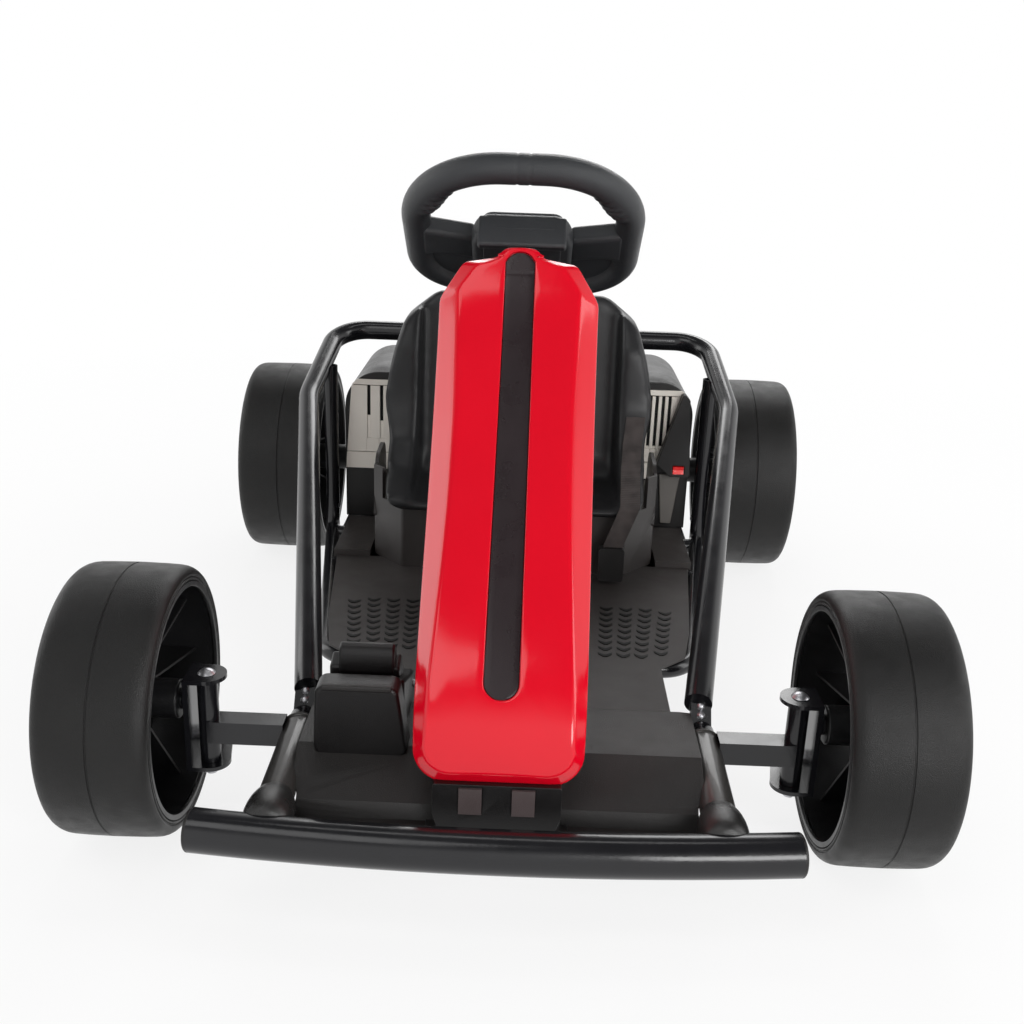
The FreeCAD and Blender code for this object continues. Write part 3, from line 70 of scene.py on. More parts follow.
# ---------------------------------------------------------------- finishes
FINISHES = {}
NOISE_LOW, NOISE_HIGH = 0.3, 0.7
COAT_ROUGHNESS = 0.06
RELIEF_GAIN = 10
WEAVE_SCALE, WEAVE_STRENGTH = 220.0, 0.8
CAD_SHARP_ANGLE = 32


def node(tree, kind, **values):
    """A shader node, with each value put on the socket or the setting of that name."""
    made = tree.nodes.new("ShaderNode" + kind)
    for key, value in values.items():
        if key in made.inputs:
            made.inputs[key].default_value = value
        else:
            setattr(made, key, value)
    return made


def noise(tree, scale, detail=3.0, stretch=None):
    """A noise over the object's own coordinates."""
    place = node(tree, "TexCoord").outputs["Object"]
    if stretch:
        mapping = node(tree, "Mapping", Scale=stretch)
        tree.links.new(place, mapping.inputs["Vector"])
        place = mapping.outputs["Vector"]
    made = node(tree, "TexNoise", Scale=scale, Detail=detail)
    tree.links.new(place, made.inputs["Vector"])
    return made.outputs["Fac"]


def mapped(tree, value, low, high, start=NOISE_LOW, end=NOISE_HIGH):
    """A value between start and end, turned into one between low and high."""
    made = node(tree, "MapRange")
    for name, number in (("From Min", start), ("From Max", end), ("To Min", low), ("To Max", high)):
        made.inputs[name].default_value = number
    tree.links.new(value, made.inputs["Value"])
    return made.outputs["Result"]


def mixed(tree, factor, dark, light):
    """A colour from dark to light, as the factor goes from 0 to 1."""
    made = node(tree, "MixRGB")
    made.inputs["Color1"].default_value = (*dark, 1)
    made.inputs["Color2"].default_value = (*light, 1)
    tree.links.new(factor, made.inputs["Fac"])
    return made.outputs["Color"]


def material(name, colour, rough, tint=0.15, cloud=9.0, grain=900.0, relief=0.03, spread=0.06,
             stretch=None, metallic=0.0, coat=0.0, specular=0.5, dust=0.0):
    """A finish with clouded colour, uneven roughness and a fine grain."""
    made = bpy.data.materials.new(name)
    FINISHES[name] = made
    made.use_nodes = True
    tree = made.node_tree
    shader = tree.nodes["Principled BSDF"]
    shader.inputs["Metallic"].default_value = metallic
    shader.inputs["Coat Weight"].default_value = coat
    shader.inputs["Coat Roughness"].default_value = COAT_ROUGHNESS
    shader.inputs["Specular IOR Level"].default_value = specular
    dark = [c * (1 - tint) for c in colour]
    light = [min(1, c * (1 + tint) + dust) for c in colour]
    clouds = mapped(tree, noise(tree, cloud), 0, 1)
    tree.links.new(mixed(tree, clouds, dark, light), shader.inputs["Base Color"])
    patches = noise(tree, cloud * 4.0, detail=4.0, stretch=stretch)
    tree.links.new(mapped(tree, patches, rough - spread, rough + spread), shader.inputs["Roughness"])
    bump = node(tree, "Bump", Strength=relief * RELIEF_GAIN, Distance=MM)
    tree.links.new(noise(tree, grain, detail=2.0, stretch=stretch), bump.inputs["Height"])
    tree.links.new(bump.outputs["Normal"], shader.inputs["Normal"])
    return made


def woven(name, colour):
    """Webbing, whose threads are two waves that cross."""
    made = material(name, colour, 0.75, tint=0.3, cloud=60.0, grain=1600.0, relief=0.05, specular=0.3)
    tree = made.node_tree
    bump = next(n for n in tree.nodes if n.bl_idname == "ShaderNodeBump")
    coords = node(tree, "TexCoord").outputs["Object"]
    crossed = node(tree, "Math", operation="MULTIPLY")
    for socket, direction in zip(crossed.inputs, ("X", "Z")):
        wave = node(tree, "TexWave", Scale=WEAVE_SCALE, Distortion=0.4, bands_direction=direction)
        tree.links.new(coords, wave.inputs["Vector"])
        tree.links.new(wave.outputs["Fac"], socket)
    tree.links.new(crossed.outputs["Value"], bump.inputs["Height"])
    bump.inputs["Strength"].default_value = WEAVE_STRENGTH


def painted_shade_ahead(made, front, back, share):
    """Paints shade on a finish: dims it from y = back, where it has its full colour, to a share of it at y =
    front, in metres.
    """
    tree = made.node_tree
    socket = tree.nodes["Principled BSDF"].inputs["Base Color"]
    colour = socket.links[0].from_socket
    parts = node(tree, "SeparateXYZ")
    tree.links.new(node(tree, "TexCoord").outputs["Object"], parts.inputs["Vector"])
    level = mapped(tree, parts.outputs["Y"], share, 1.0, front, back)
    scaled = node(tree, "VectorMath", operation="SCALE")
    tree.links.new(colour, scaled.inputs[0])
    tree.links.new(level, scaled.inputs["Scale"])
    tree.links.new(scaled.outputs["Vector"], socket)


material("black_paint", (0.007, 0.007, 0.0085), 0.19, grain=260.0, relief=0.006, spread=0.04)
material("floor_plastic", (0.036, 0.0315, 0.0300), 0.42, dust=0.003, grain=1500.0, relief=0.05, specular=0.4)
material("black_plastic", (0.0135, 0.0125, 0.0125), 0.36, grain=1400.0, specular=0.35)
material("seat_plastic", (0.0115, 0.0115, 0.0125), 0.4, grain=700.0, relief=0.015, specular=0.35)
material("red_plastic", (0.62, 0.0005, 0.012), 0.12, tint=0.04, cloud=5.0, grain=160.0, relief=0.003,
         spread=0.03)
material("strip_plastic", (0.014, 0.0075, 0.009), 0.3, grain=1300.0, relief=0.02, specular=0.4)
material("grey_plastic", (0.80, 0.75, 0.68), 0.36, tint=0.08, grain=1200.0)
woven("webbing", (0.055, 0.046, 0.044))
material("zinc_steel", (0.5, 0.5, 0.52), 0.38, metallic=1.0, cloud=40.0, relief=0.002)
material("tyre", (0.0055, 0.0052, 0.0050), 0.42, tint=0.3, cloud=14.0, grain=1100.0, relief=0.05,
         spread=0.08, dust=0.001, specular=0.3)
material("rim", (0.006, 0.006, 0.0065), 0.36, specular=0.35)
material("grip", (0.016, 0.0175, 0.020), 0.36, grain=1500.0, relief=0.06, specular=0.45)
material("boot_rubber", (0.014, 0.0135, 0.013), 0.3, grain=1200.0)
material("motor_can", (0.3, 0.3, 0.32), 0.34, metallic=1.0, stretch=(1, 20, 20), grain=90.0)
material("battery_case", (0.06, 0.06, 0.07), 0.5, relief=0.05)
material("cast_aluminium", (0.62, 0.62, 0.64), 0.4, metallic=1.0, grain=700.0, relief=0.06)
material("red_lamp", (0.85, 0.02, 0.02), 0.2, coat=0.5)
# Near black: painted shade, on the chevrons, which stand for the floor's recessed marks, and on the sheets
# behind the vent slots.
material("chevron_plastic", (0.003, 0.003, 0.003), 0.5, grain=1400.0, specular=0.2)
# Black paint made lighter for the strut sleeves: a painted sheen, for the pale reflection along the struts.
material("strut_paint", (0.030, 0.028, 0.026), 0.38, grain=500.0, relief=0.01, coat=0.3)
material("skirt_plastic", (0.13, 0.12, 0.11), 0.4, grain=1400.0)
# A darker copy of black plastic: painted shade on the nose box, the pedal's housing and the pedal pad.
material("dark_plastic", (0.0045, 0.0038, 0.004), 0.34, grain=1400.0, specular=0.35)
# A lighter copy of black plastic: painted light on the seat base, which lies in the shaded cockpit.
material("base_plastic", (0.026, 0.0225, 0.0215), 0.36, grain=1400.0, specular=0.4)
material("bar_plastic", (0.055, 0.040, 0.040), 0.42, grain=1400.0)
# Painted shade: the floor pan darkens towards its front slope.
painted_shade_ahead(FINISHES["floor_plastic"], front=-0.42, back=-0.27, share=0.3)

CAD_FINISH = {**SLOT_OF, "nose_bars": "bar_plastic"}
for name, cad in NODES.items():
    cad.data.materials.clear()
    cad.data.materials.append(FINISHES[CAD_FINISH[name]])
    cad.data.shade_smooth()
    cad.data.set_sharp_from_angle(angle=math.radians(CAD_SHARP_ANGLE))


# ---------------------------------------------------------------- geometry helpers
class Shape:
    """The vertices and faces of one piece, in metres in the row frame."""

    def __init__(self):
        self.verts = []
        self.faces = []

    def points(self, points):
        """Adds points, and gives back their numbers."""
        first = len(self.verts)
        self.verts.extend(tuple(p) for p in points)
        return list(range(first, len(self.verts)))

    def skin(self, rings, closed=True, caps=False):
        """Quads between successive rings of equal count."""
        rows = [self.points(ring) for ring in rings]
        for a, b in zip(rows, rows[1:]):
            for i in range(len(a) if closed else len(a) - 1):
                j = (i + 1) % len(a)
                self.faces.append((a[i], a[j], b[j], b[i]))
        if caps:
            self.faces.append(tuple(reversed(rows[0])))
            self.faces.append(tuple(rows[-1]))
        return rows

    def fill(self, ring):
        """Closes a ring whose second half mirrors its first, with faces straight across it."""
        for i in range(len(ring) // 2):
            corners = dict.fromkeys((i, i + 1, (-i - 1) % len(ring), -i % len(ring)))
            self.faces.append(tuple(ring[k] for k in corners))

    def prism(self, outline, low, high, place):
        """An outline of (u, v) pairs drawn out from low to high; place turns (u, v, w) into a point."""
        self.skin([[place(u, v, w) for u, v in outline] for w in (low, high)], caps=True)

    def slab(self, points, quads, offset):
        """A sheet of quads given the thickness offset."""
        top = self.points(points)
        low = self.points(Vector(p) + offset for p in points)
        edges = set()
        for quad in quads:
            self.faces.append(tuple(top[i] for i in quad))
            self.faces.append(tuple(low[i] for i in reversed(quad)))
            edges.update(zip(quad, quad[1:] + quad[:1]))
        for a, b in sorted(edges):
            if (b, a) not in edges:
                self.faces.append((top[b], top[a], low[a], low[b]))

    def turn(self, profile, origin, axis, steps=48, closed=True):
        """Turns (distance, radius) pairs about an axis through origin."""
        along = Vector(axis).normalized()
        across = along.orthogonal().normalized()
        other = along.cross(across)
        angles = [2 * math.pi * k / steps for k in range(steps)]
        rings = []
        for distance, radius in profile + (profile[:1] if closed else []):
            centre = Vector(origin) + along * distance
            rings.append([kart_point(*(centre + (across * math.cos(a) + other * math.sin(a)) * radius))
                          for a in angles])
        self.skin(rings)

    def lathe(self, profile, hub, side, steps=96, closed=True):
        """Turns (x, radius) pairs about the X axis through hub; side -1 mirrors it."""
        self.turn(profile, hub, (side, 0, 0), steps, closed)


MERGE_DISTANCE = 0.001
FLAT_ANGLE = 0.8
BEVEL_ANGLE = 35
SOFTENING = 0.5
PLAIN_SLOT = "black_plastic"


def linked(name, data):
    """A new object with this mesh, lamp or camera, in the scene."""
    made = bpy.data.objects.new(name, data)
    bpy.context.scene.collection.objects.link(made)
    return made


def dress(made, finish, body, stands_for=None, bevel=0.0, segments=3, solid=0.0, sharp=40.0, slot=None):
    """Gives an object its finish, wall and rounded edges, and its body, and hides the CAD node that it stands
    for.
    """
    made.data.materials.clear()
    made.data.materials.append(FINISHES[finish])
    made.data.shade_smooth()
    made.data.set_sharp_from_angle(angle=math.radians(sharp))
    if solid:
        thick = made.modifiers.new("thickness", "SOLIDIFY")
        thick.thickness = solid * MM
        thick.offset = -1
    if bevel:
        edge = made.modifiers.new("edges", "BEVEL")
        edge.width = bevel * MM
        edge.segments = segments
        edge.limit_method = "ANGLE"
        edge.angle_limit = math.radians(BEVEL_ANGLE)
        edge.harden_normals = True
        edge.miter_outer = "MITER_ARC"
    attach(made, body)
    slot or (finish if finish in SLOTS else PLAIN_SLOT)
    if stands_for:
        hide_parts(stands_for)


def piece(name, shape, finish, body="chassis", stands_for=None, **looks):
    """Makes an object of the shape, which rides on a body and may stand for a CAD node."""
    mesh = bpy.data.meshes.new(name)
    mesh.from_pydata(shape.verts, [], shape.faces)
    work = bmesh.new()
    work.from_mesh(mesh)
    bmesh.ops.remove_doubles(work, verts=work.verts, dist=MERGE_DISTANCE * MM)
    bmesh.ops.recalc_face_normals(work, faces=work.faces)
    work.to_mesh(mesh)
    work.free()
    dress(linked(name, mesh), finish, body, stands_for, **looks)


def polished(name, cad_name, bevel, finish=None, segments=2):
    """A copy of a chassis node with its flat faces made whole and its edges rounded."""
    mesh = NODES[cad_name].data.copy()
    work = bmesh.new()
    work.from_mesh(mesh)
    bmesh.ops.remove_doubles(work, verts=work.verts, dist=2 * MERGE_DISTANCE * MM)
    bmesh.ops.dissolve_limit(work, angle_limit=math.radians(FLAT_ANGLE), verts=work.verts, edges=work.edges)
    work.to_mesh(mesh)
    work.free()
    slot = SLOT_OF[cad_name]
    dress(linked(name, mesh), finish or slot, "chassis", cad_name, bevel, segments, sharp=35, slot=slot)


def softened(name, cad_name, voxel, passes):
    """A copy of a chassis node with its corners softened, as moulded plastic has them."""
    slot = SLOT_OF[cad_name]
    made = linked(name, NODES[cad_name].data.copy())
    remesh = made.modifiers.new("skin", "REMESH")
    remesh.mode = "VOXEL"
    remesh.voxel_size = voxel * MM
    remesh.use_smooth_shade = True
    smooth = made.modifiers.new("soften", "SMOOTH")
    smooth.factor = SOFTENING
    smooth.iterations = passes
    made.data.materials.clear()
    made.data.materials.append(FINISHES[slot])
    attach(made, "chassis")
    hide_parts(cad_name)


def rounded(points, radii, steps):
    """An outline with an arc at each corner, as (u, v) pairs."""
    outline = []
    for i, corner in enumerate(points):
        radius = radii[i] if isinstance(radii, list) else radii
        here = Vector(corner)
        if radius <= 0:
            outline.append(tuple(here))
            continue
        back = (Vector(points[i - 1]) - here).normalized()
        ahead = (Vector(points[(i + 1) % len(points)]) - here).normalized()
        half = back.angle(ahead) / 2
        centre = here + (back + ahead).normalized() * (radius / math.sin(half))
        start = here + back * (radius / math.tan(half)) - centre
        end = here + ahead * (radius / math.tan(half)) - centre
        sweep = start.angle(end)
        for k in range(steps + 1):
            share = k / steps
            turned = start * math.sin((1 - share) * sweep) + end * math.sin(share * sweep)
            outline.append(tuple(centre + turned / math.sin(sweep)))
    return outline


def spaced(points, count, closed=False):
    """The same line with count points, evenly spaced."""
    line = [Vector(p) for p in points] + ([Vector(points[0])] if closed else [])
    lengths = [0.0]
    for a, b in zip(line, line[1:]):
        lengths.append(lengths[-1] + (b - a).length)
    places = []
    k = 0
    for i in range(count):
        want = lengths[-1] * i / (count if closed else count - 1)
        while k < len(line) - 2 and lengths[k + 1] < want:
            k += 1
        span = max(lengths[k + 1] - lengths[k], 1e-9)
        places.append(line[k].lerp(line[k + 1], (want - lengths[k]) / span))
    return places


# ---------------------------------------------------------------- wheels
FRONT_TRACK, REAR_TRACK, WHEELBASE = 708.0, 706.0, 786.0
Wheel = namedtuple("Wheel", "end track_x axle_y radius width hub_start")
WHEELS = (Wheel("front", FRONT_TRACK / 2, 0.0, radius=130.0, width=102.0, hub_start=-45.6),
          Wheel("rear", REAR_TRACK / 2, WHEELBASE, radius=145.0, width=119.0, hub_start=-102.2))
# Steps of the tyre's side, as how far each lies inside the tyre's half width and its radius.
TYRE_SIDE = [(1.5, 16), (0.3, 15.2), (0.1, 13.8), (1.4, 13.0), (1.5, 12.2), (0.4, 11.4), (0, 10), (0.5, 8),
             (1.7, 6), (3.6, 4.2), (6.2, 2.7), (9.5, 1.6), (14, 1.0)]
PARTING_LINE = [(6, 0.15), (1.1, 0.1), (0.45, 0.9)]
TYRE_DEPTH = 16.0
# The barrel's lip, as how far each step lies inside the barrel's half width and the bead's seat.
BARREL_SIDE = [(3, 0.2), (0.1, 0.4), (0.4, 5.5), (3.5, 6), (5, 4)]
DISC_INSET, DISC_THICKNESS = 24.0, 6.0
DISC_INNER_RADIUS, DISC_ROOT, DISC_EDGE_GAP = 27.0, 8, 3.0
DISH_START, DISH_DEPTH, DISH_SWEEP = -1.5, 4.5, 0.9
HUB_RADIUS, BORE_RADIUS = 19.0, 6.5
# The hub cap's section, as a distance from the disc and a radius.
HUB_CAP = [(-4, 24), (6, 27.2), (14, 27.6), (17, 26), (18.6, 22), (18.9, 19), (18.0, 18), (18.0, 9),
           (18.6, 8), (18.8, 0.02)]
SPOKES = 5
# The disc's columns of points for one spoke and one window, and the two columns at the window's edges.
COLUMNS, WINDOW_START, WINDOW_END = 16, 4, 12
WINDOW_HALF_ANGLE, WINDOW_TIP_SHARE = math.radians(23), 0.42
WINDOW_RADII = (0.22, 0.27, 0.36, 0.5, 0.64, 0.78, 0.87, 0.92)
RIBS, RIB_HALF = 10, 1.6


def tyre_profile(radius, width):
    """A moulded tyre's section: bead, stepped side wall, round shoulder, crowned tread, parting line."""
    half = width / 2
    right = [(half - inset, radius - drop) for inset, drop in TYRE_SIDE]
    right.append((half * 0.5, radius - 0.5))
    right += [(x, radius - drop) for x, drop in PARTING_LINE]
    return right + [(-x, r) for x, r in reversed(right)]


def barrel_profile(half, seat):
    """The rim's barrel under the tyre's bead, with a lip at each edge."""
    right = [(half - inset, seat - drop) for inset, drop in BARREL_SIDE]
    return right + [(-x, r) for x, r in reversed(right)]


def hub_profile(start, disc_x):
    """The hub round the axle, from its inner end to the disc."""
    return [(start, BORE_RADIUS), (start, HUB_RADIUS - 1.5), (start + 1.5, HUB_RADIUS),
            (disc_x, HUB_RADIUS + 0.5), (disc_x + 6, HUB_RADIUS), (disc_x + 6, BORE_RADIUS)]


def column_angle(column, open_half):
    """A column's angle from the middle of its window, whose half angle here is open_half."""
    offset = column - COLUMNS // 2
    reach = WINDOW_END - COLUMNS // 2
    if abs(offset) <= reach:
        return offset / reach * open_half
    past = (abs(offset) - reach) / (COLUMNS // 2 - reach)
    return math.copysign(open_half + (math.pi / SPOKES - open_half) * past, offset)


def rim_disc(shape, hub, side, seat, disc_x):
    """The wheel's outer disc, with windows between broad spokes."""
    inner, outer = DISC_INNER_RADIUS, seat - DISC_EDGE_GAP
    window = [inner + (outer - inner) * share for share in WINDOW_RADII]
    radii = [inner - DISC_ROOT, inner] + window + [outer]
    middle, reach = (window[0] + window[-1]) / 2, (window[-1] - window[0]) / 2
    points, quads = [], []
    for r in radii:
        t = max(-1.0, min(1.0, (r - middle) / reach))
        widening = (1 - WINDOW_TIP_SHARE) * math.sqrt(max(0.0, 1 - t ** 4))
        open_half = WINDOW_HALF_ANGLE * (WINDOW_TIP_SHARE + widening)
        sweep = math.pi * min(1.0, (r - inner) / (outer - inner) * DISH_SWEEP)
        x = hub[0] + side * (disc_x + DISH_START + DISH_DEPTH * math.cos(sweep))
        for spoke in range(SPOKES):
            for column in range(COLUMNS):
                angle = column_angle(column, open_half) + 2 * math.pi * spoke / SPOKES
                points.append(kart_point(x, hub[1] + r * math.sin(angle), hub[2] + r * math.cos(angle)))
    count = SPOKES * COLUMNS
    for i in range(len(radii) - 1):
        for j in range(count):
            if 2 <= i <= len(window) and WINDOW_START <= j % COLUMNS < WINDOW_END:
                continue
            k = (j + 1) % count
            quads.append((i * count + j, i * count + k, (i + 1) * count + k, (i + 1) * count + j))
    shape.slab(points, quads, Vector((-side * DISC_THICKNESS * MM, 0, 0)))


def on_rib(hub, side, angle):
    """Places (x, radius, thickness) on a rib that stands out from the hub at an angle."""
    sine, cosine = math.sin(angle), math.cos(angle)

    def place(x, r, w):
        return kart_point(hub[0] + side * x, hub[1] + sine * r + cosine * w, hub[2] + cosine * r - sine * w)
    return place


def tyre(hub, side, wheel):
    """The tyre, as one turned skin."""
    shape = Shape()
    shape.lathe(tyre_profile(wheel.radius, wheel.width), hub, side, steps=160)
    return shape


def rim(hub, side, wheel):
    """The moulded rim: barrel, hub, cap, windowed disc, and ribs behind the disc."""
    half, seat = wheel.width / 2, wheel.radius - TYRE_DEPTH
    disc_x = half - DISC_INSET
    shape = Shape()
    shape.lathe(barrel_profile(half, seat), hub, side)
    shape.lathe(hub_profile(wheel.hub_start, disc_x), hub, side, steps=48)
    shape.lathe([(disc_x + x, r) for x, r in HUB_CAP], hub, side, steps=64, closed=False)
    rim_disc(shape, hub, side, seat, disc_x)
    rib = [(disc_x - 5, 18), (disc_x - 5, seat - 3.5), (-half + 22, seat - 3.5), (disc_x - 34, 40),
           (disc_x - 34, 18)]
    for k in range(RIBS):
        shape.prism(rib, -RIB_HALF, RIB_HALF, on_rib(hub, side, 2 * math.pi * (k + 0.5) / RIBS))
    return shape


for wheel in WHEELS:
    for side_name, side in SIDES:
        hub = (side * wheel.track_x, wheel.axle_y, wheel.radius)
        body = f"{wheel.end}_wheel_{side_name}"
        tyre_node, rim_node = f"{wheel.end}_tyre_{side_name}", f"{wheel.end}_rim_{side_name}"
        piece(f"{tyre_node}_skin", tyre(hub, side, wheel), "tyre", body, tyre_node, sharp=28)
        piece(f"{rim_node}_skin", rim(hub, side, wheel), "rim", body, rim_node, bevel=0.9, segments=2)


# ---------------------------------------------------------------- hood
class Profile:
    """A smooth line through (y, z) points, a natural cubic spline that is read by its length."""

    SAMPLES = 600
    NORMAL_REACH = 3

    def __init__(self, points):
        p = np.array(points, float)
        chord = np.concatenate([[0], np.cumsum(np.linalg.norm(np.diff(p, axis=0), axis=1))])
        h = np.diff(chord)
        n = len(p)
        system = np.eye(n)
        right = np.zeros((n, 2))
        for i in range(1, n - 1):
            system[i, i - 1:i + 2] = h[i - 1], 2 * (h[i - 1] + h[i]), h[i]
            right[i] = 6 * ((p[i + 1] - p[i]) / h[i] - (p[i] - p[i - 1]) / h[i - 1])
        bend = np.linalg.solve(system, right)
        fine = []
        for t in np.linspace(0, chord[-1], self.SAMPLES):
            i = min(n - 2, int(np.searchsorted(chord, t, side="right")) - 1)
            a, b = (chord[i + 1] - t) / h[i], (t - chord[i]) / h[i]
            fine.append(a * p[i] + b * p[i + 1]
                        + ((a ** 3 - a) * bend[i] + (b ** 3 - b) * bend[i + 1]) * h[i] ** 2 / 6)
        self.line = np.array(fine)
        self.at = np.concatenate([[0], np.cumsum(np.linalg.norm(np.diff(self.line, axis=0), axis=1))])
        self.length = self.at[-1]

    def spot(self, s):
        """The (y, z) at a length along the line."""
        return [float(np.interp(s, self.at, self.line[:, k])) for k in (0, 1)]

    def normal(self, s):
        """The outward direction, as (y, z)."""
        a = self.spot(max(0.0, s - self.NORMAL_REACH))
        b = self.spot(min(self.length, s + self.NORMAL_REACH))
        along = Vector((b[0] - a[0], b[1] - a[1])).normalized()
        return Vector((-along.y, along.x))

    def at_height(self, z):
        """The length at which the line reaches a height."""
        return float(np.interp(z, self.line[:, 1], self.at))


HOOD = Profile([(-129, 126.5), (-115, 175), (-70, 229), (50, 328), (140, 403), (185, 445), (232, 500),
                (254.5, 540)])
HOOD_THICKNESS = 2.4
HOOD_LOW_HALF, HOOD_HIGH_HALF = 74.0, 84.0
LOWER_CORNER = 30
SHOULDER_Z = 494
SHOULDER_END = (60, 529)
TAB_FOOT, TAB_NECK = (24.5, 530.5), (21.5, 536)
TAB_TOP_HALF = 20.5
STRIP_HALF = 15.8
GROOVE_FOOT_Z, GROOVE_FOOT_RADIUS, GROOVE_TOP_RADIUS, GROOVE_TOP_GAP = 196, 15.2, 15.0, 4.6
GROOVE_SIDE_END_Z, GROOVE_SHOULDER_END_Z = 500, 527
# Places along the edges are numbered: from 0 along the foot and round the lower corner to 1, up the
# side to 2, over the shoulder to 3, and round the tab to 4. Each of these runs has a count of points.
RUN_COUNTS = (18, 56, 18, 16)
WALL_FRACTIONS = (1.0, 0.97, 0.75, 0.5, 0.28, 0.12, 0.04)
WALL_LOW_DEPTH, WALL_TOP_DEPTH = 24, 30
WALL_SIDE_DEPTH, WALL_SIDE_SWELL = 42, 70
WALL_SWELL_END, WALL_SWELL_SWEEP = 0.92, 0.9
# The bevel between wall and face: distances in from the hood's edge, with depths under its face.
BEVEL_SECTION = [(0, 19.5), (0.3, 18.6), (1.0, 17.7), (2.2, 16.7), (7, 13.2), (12.4, 9.2), (17.8, 5.2),
                 (21.2, 2.8), (23.2, 1.55), (25.2, 0.7), (27.6, 0.18), (30.5, 0)]
BEVEL_REACH = 38.0
BEVEL_GROWS_FROM, BEVEL_GROWS_OVER, BEVEL_CORNER_SHARE = 0.75, 0.8, 0.5
BEVEL_SHRINKS_FROM, BEVEL_SHRINKS_OVER, BEVEL_TOP_LOSS = 1.7, 0.5, 0.3
FACE_SHARES = (0.3, 0.6, 0.85)
# Shares of the way from bevel to groove, and widths of the strip, each with a depth under the face.
GROOVE_LIP = ((0.965, 0.0), (0.985, 0.12), (0.997, 0.5), (1.0, 1.0), (1.0, 2.4), (1.0, 4.2))
STRIP_SECTION = ((1.0, 3.9), (1.0, 2.6), (0.985, 2.2), (0.95, 2.05), (0.6, 2.0), (0.2, 2.0))
STRIP_SIDE_GAP, STRIP_END_GAP = 0.5, 0.9
STRIP_MIDDLE_Z = 300
STRIP_JOINT_Z, STRIP_JOINT_DEPTH, STRIP_JOINT_HALF = 516, 0.7, 1.6


def on_hood(x, s, depth=0.0):
    """A point of the hood: x across, s along its profile, and depth under its face."""
    y, z = HOOD.spot(s)
    out = HOOD.normal(s)
    return kart_point(x, y - out.x * depth, z - out.y * depth)


def hood_edge():
    """The hood's outer edge for x above 0, as (x, s), in four runs: corner, side, shoulder and tab."""
    height, top = HOOD.at_height, HOOD.length
    shoulder_end, tab_foot, tab_neck = [(x, height(z)) for x, z in (SHOULDER_END, TAB_FOOT, TAB_NECK)]
    edge = rounded([(0, 0), (HOOD_LOW_HALF, 0), (HOOD_HIGH_HALF, height(SHOULDER_Z)), shoulder_end, tab_foot,
                    tab_neck, (TAB_TOP_HALF, top), (0, top)], [0, LOWER_CORNER, 16, 12, 3, 2, 12, 0], 8)
    edge = [Vector(p) for p in edge]
    side = next(i for i, p in enumerate(edge) if p.y > LOWER_CORNER - 1)
    shoulder = next(i for i, p in enumerate(edge) if p.y > 2 * LOWER_CORNER)
    tab = next(i for i, p in enumerate(edge) if p.x <= TAB_FOOT[0] - 0.3 and i > shoulder)
    return [edge[:side + 1], edge[side:shoulder + 1], edge[shoulder:tab + 1], edge[tab:]]


def groove_edge():
    """The groove's edge for x above 0, as (x, s), in four runs that face the outer edge's."""
    foot, top = HOOD.at_height(GROOVE_FOOT_Z), HOOD.length - GROOVE_TOP_GAP
    groove = rounded([(0, foot), (STRIP_HALF, foot), (STRIP_HALF, top), (0, top)],
                     [0, GROOVE_FOOT_RADIUS, GROOVE_TOP_RADIUS, 0], 10)
    groove = [Vector(p) for p in groove]
    heights = [HOOD.at_height(z) for z in (GROOVE_SIDE_END_Z, GROOVE_SHOULDER_END_Z)]
    marks = [Vector((STRIP_HALF, s)) for s in (foot + GROOVE_FOOT_RADIUS, *heights)]
    first = next(i for i, p in enumerate(groove) if p.x >= STRIP_HALF - 0.01)
    last = next(i for i, p in enumerate(groove) if p.y > heights[-1])
    return [groove[:first + 1], marks[:2], marks[1:], marks[2:] + groove[last:]]


def hood_pairs():
    """Matching points of the two edges, each pair with its number along the runs."""
    pairs = []
    for k, (outer, inner, count) in enumerate(zip(hood_edge(), groove_edge(), RUN_COUNTS)):
        numbers = [k + i / count for i in range(count + 1)]
        joined = list(zip(spaced(outer, count + 1), spaced(inner, count + 1), numbers))
        pairs += joined if k == len(RUN_COUNTS) - 1 else joined[:-1]
    return pairs


def hood_wall_depth(where, s):
    """How far the side wall runs back: short at the ends, deep along the sides."""
    share = min(s / HOOD.length, WALL_SWELL_END)
    deep = WALL_SIDE_DEPTH + WALL_SIDE_SWELL * math.sin(math.pi * share * WALL_SWELL_SWEEP)
    if where < 1:
        return WALL_LOW_DEPTH + (deep - WALL_LOW_DEPTH) * where ** 2
    if where > 2:
        return WALL_TOP_DEPTH + (deep - WALL_TOP_DEPTH) * max(0.0, 3 - where) ** 0.7
    return deep


def bevel_scale(edge, groove, where):
    """The bevel's size: full along the sides, smaller round the lower corners and at the top."""
    grown = min(1.0, max(0.0, (where - BEVEL_GROWS_FROM) / BEVEL_GROWS_OVER))
    full = BEVEL_CORNER_SHARE + (1 - BEVEL_CORNER_SHARE) * grown * grown * (3 - 2 * grown)
    if where > BEVEL_SHRINKS_FROM:
        full *= 1 - BEVEL_TOP_LOSS * min(1.0, (where - BEVEL_SHRINKS_FROM) / BEVEL_SHRINKS_OVER)
    return full * min(1.0, (groove - edge).length / BEVEL_REACH)


def hood_ring(pairs, place):
    """A closed ring: up the half with x above 0, then back down the other."""
    up = [place(*pair, 1) for pair in pairs]
    down = [place(*pair, -1) for pair in pairs[1:-1]]
    return up + down[::-1]


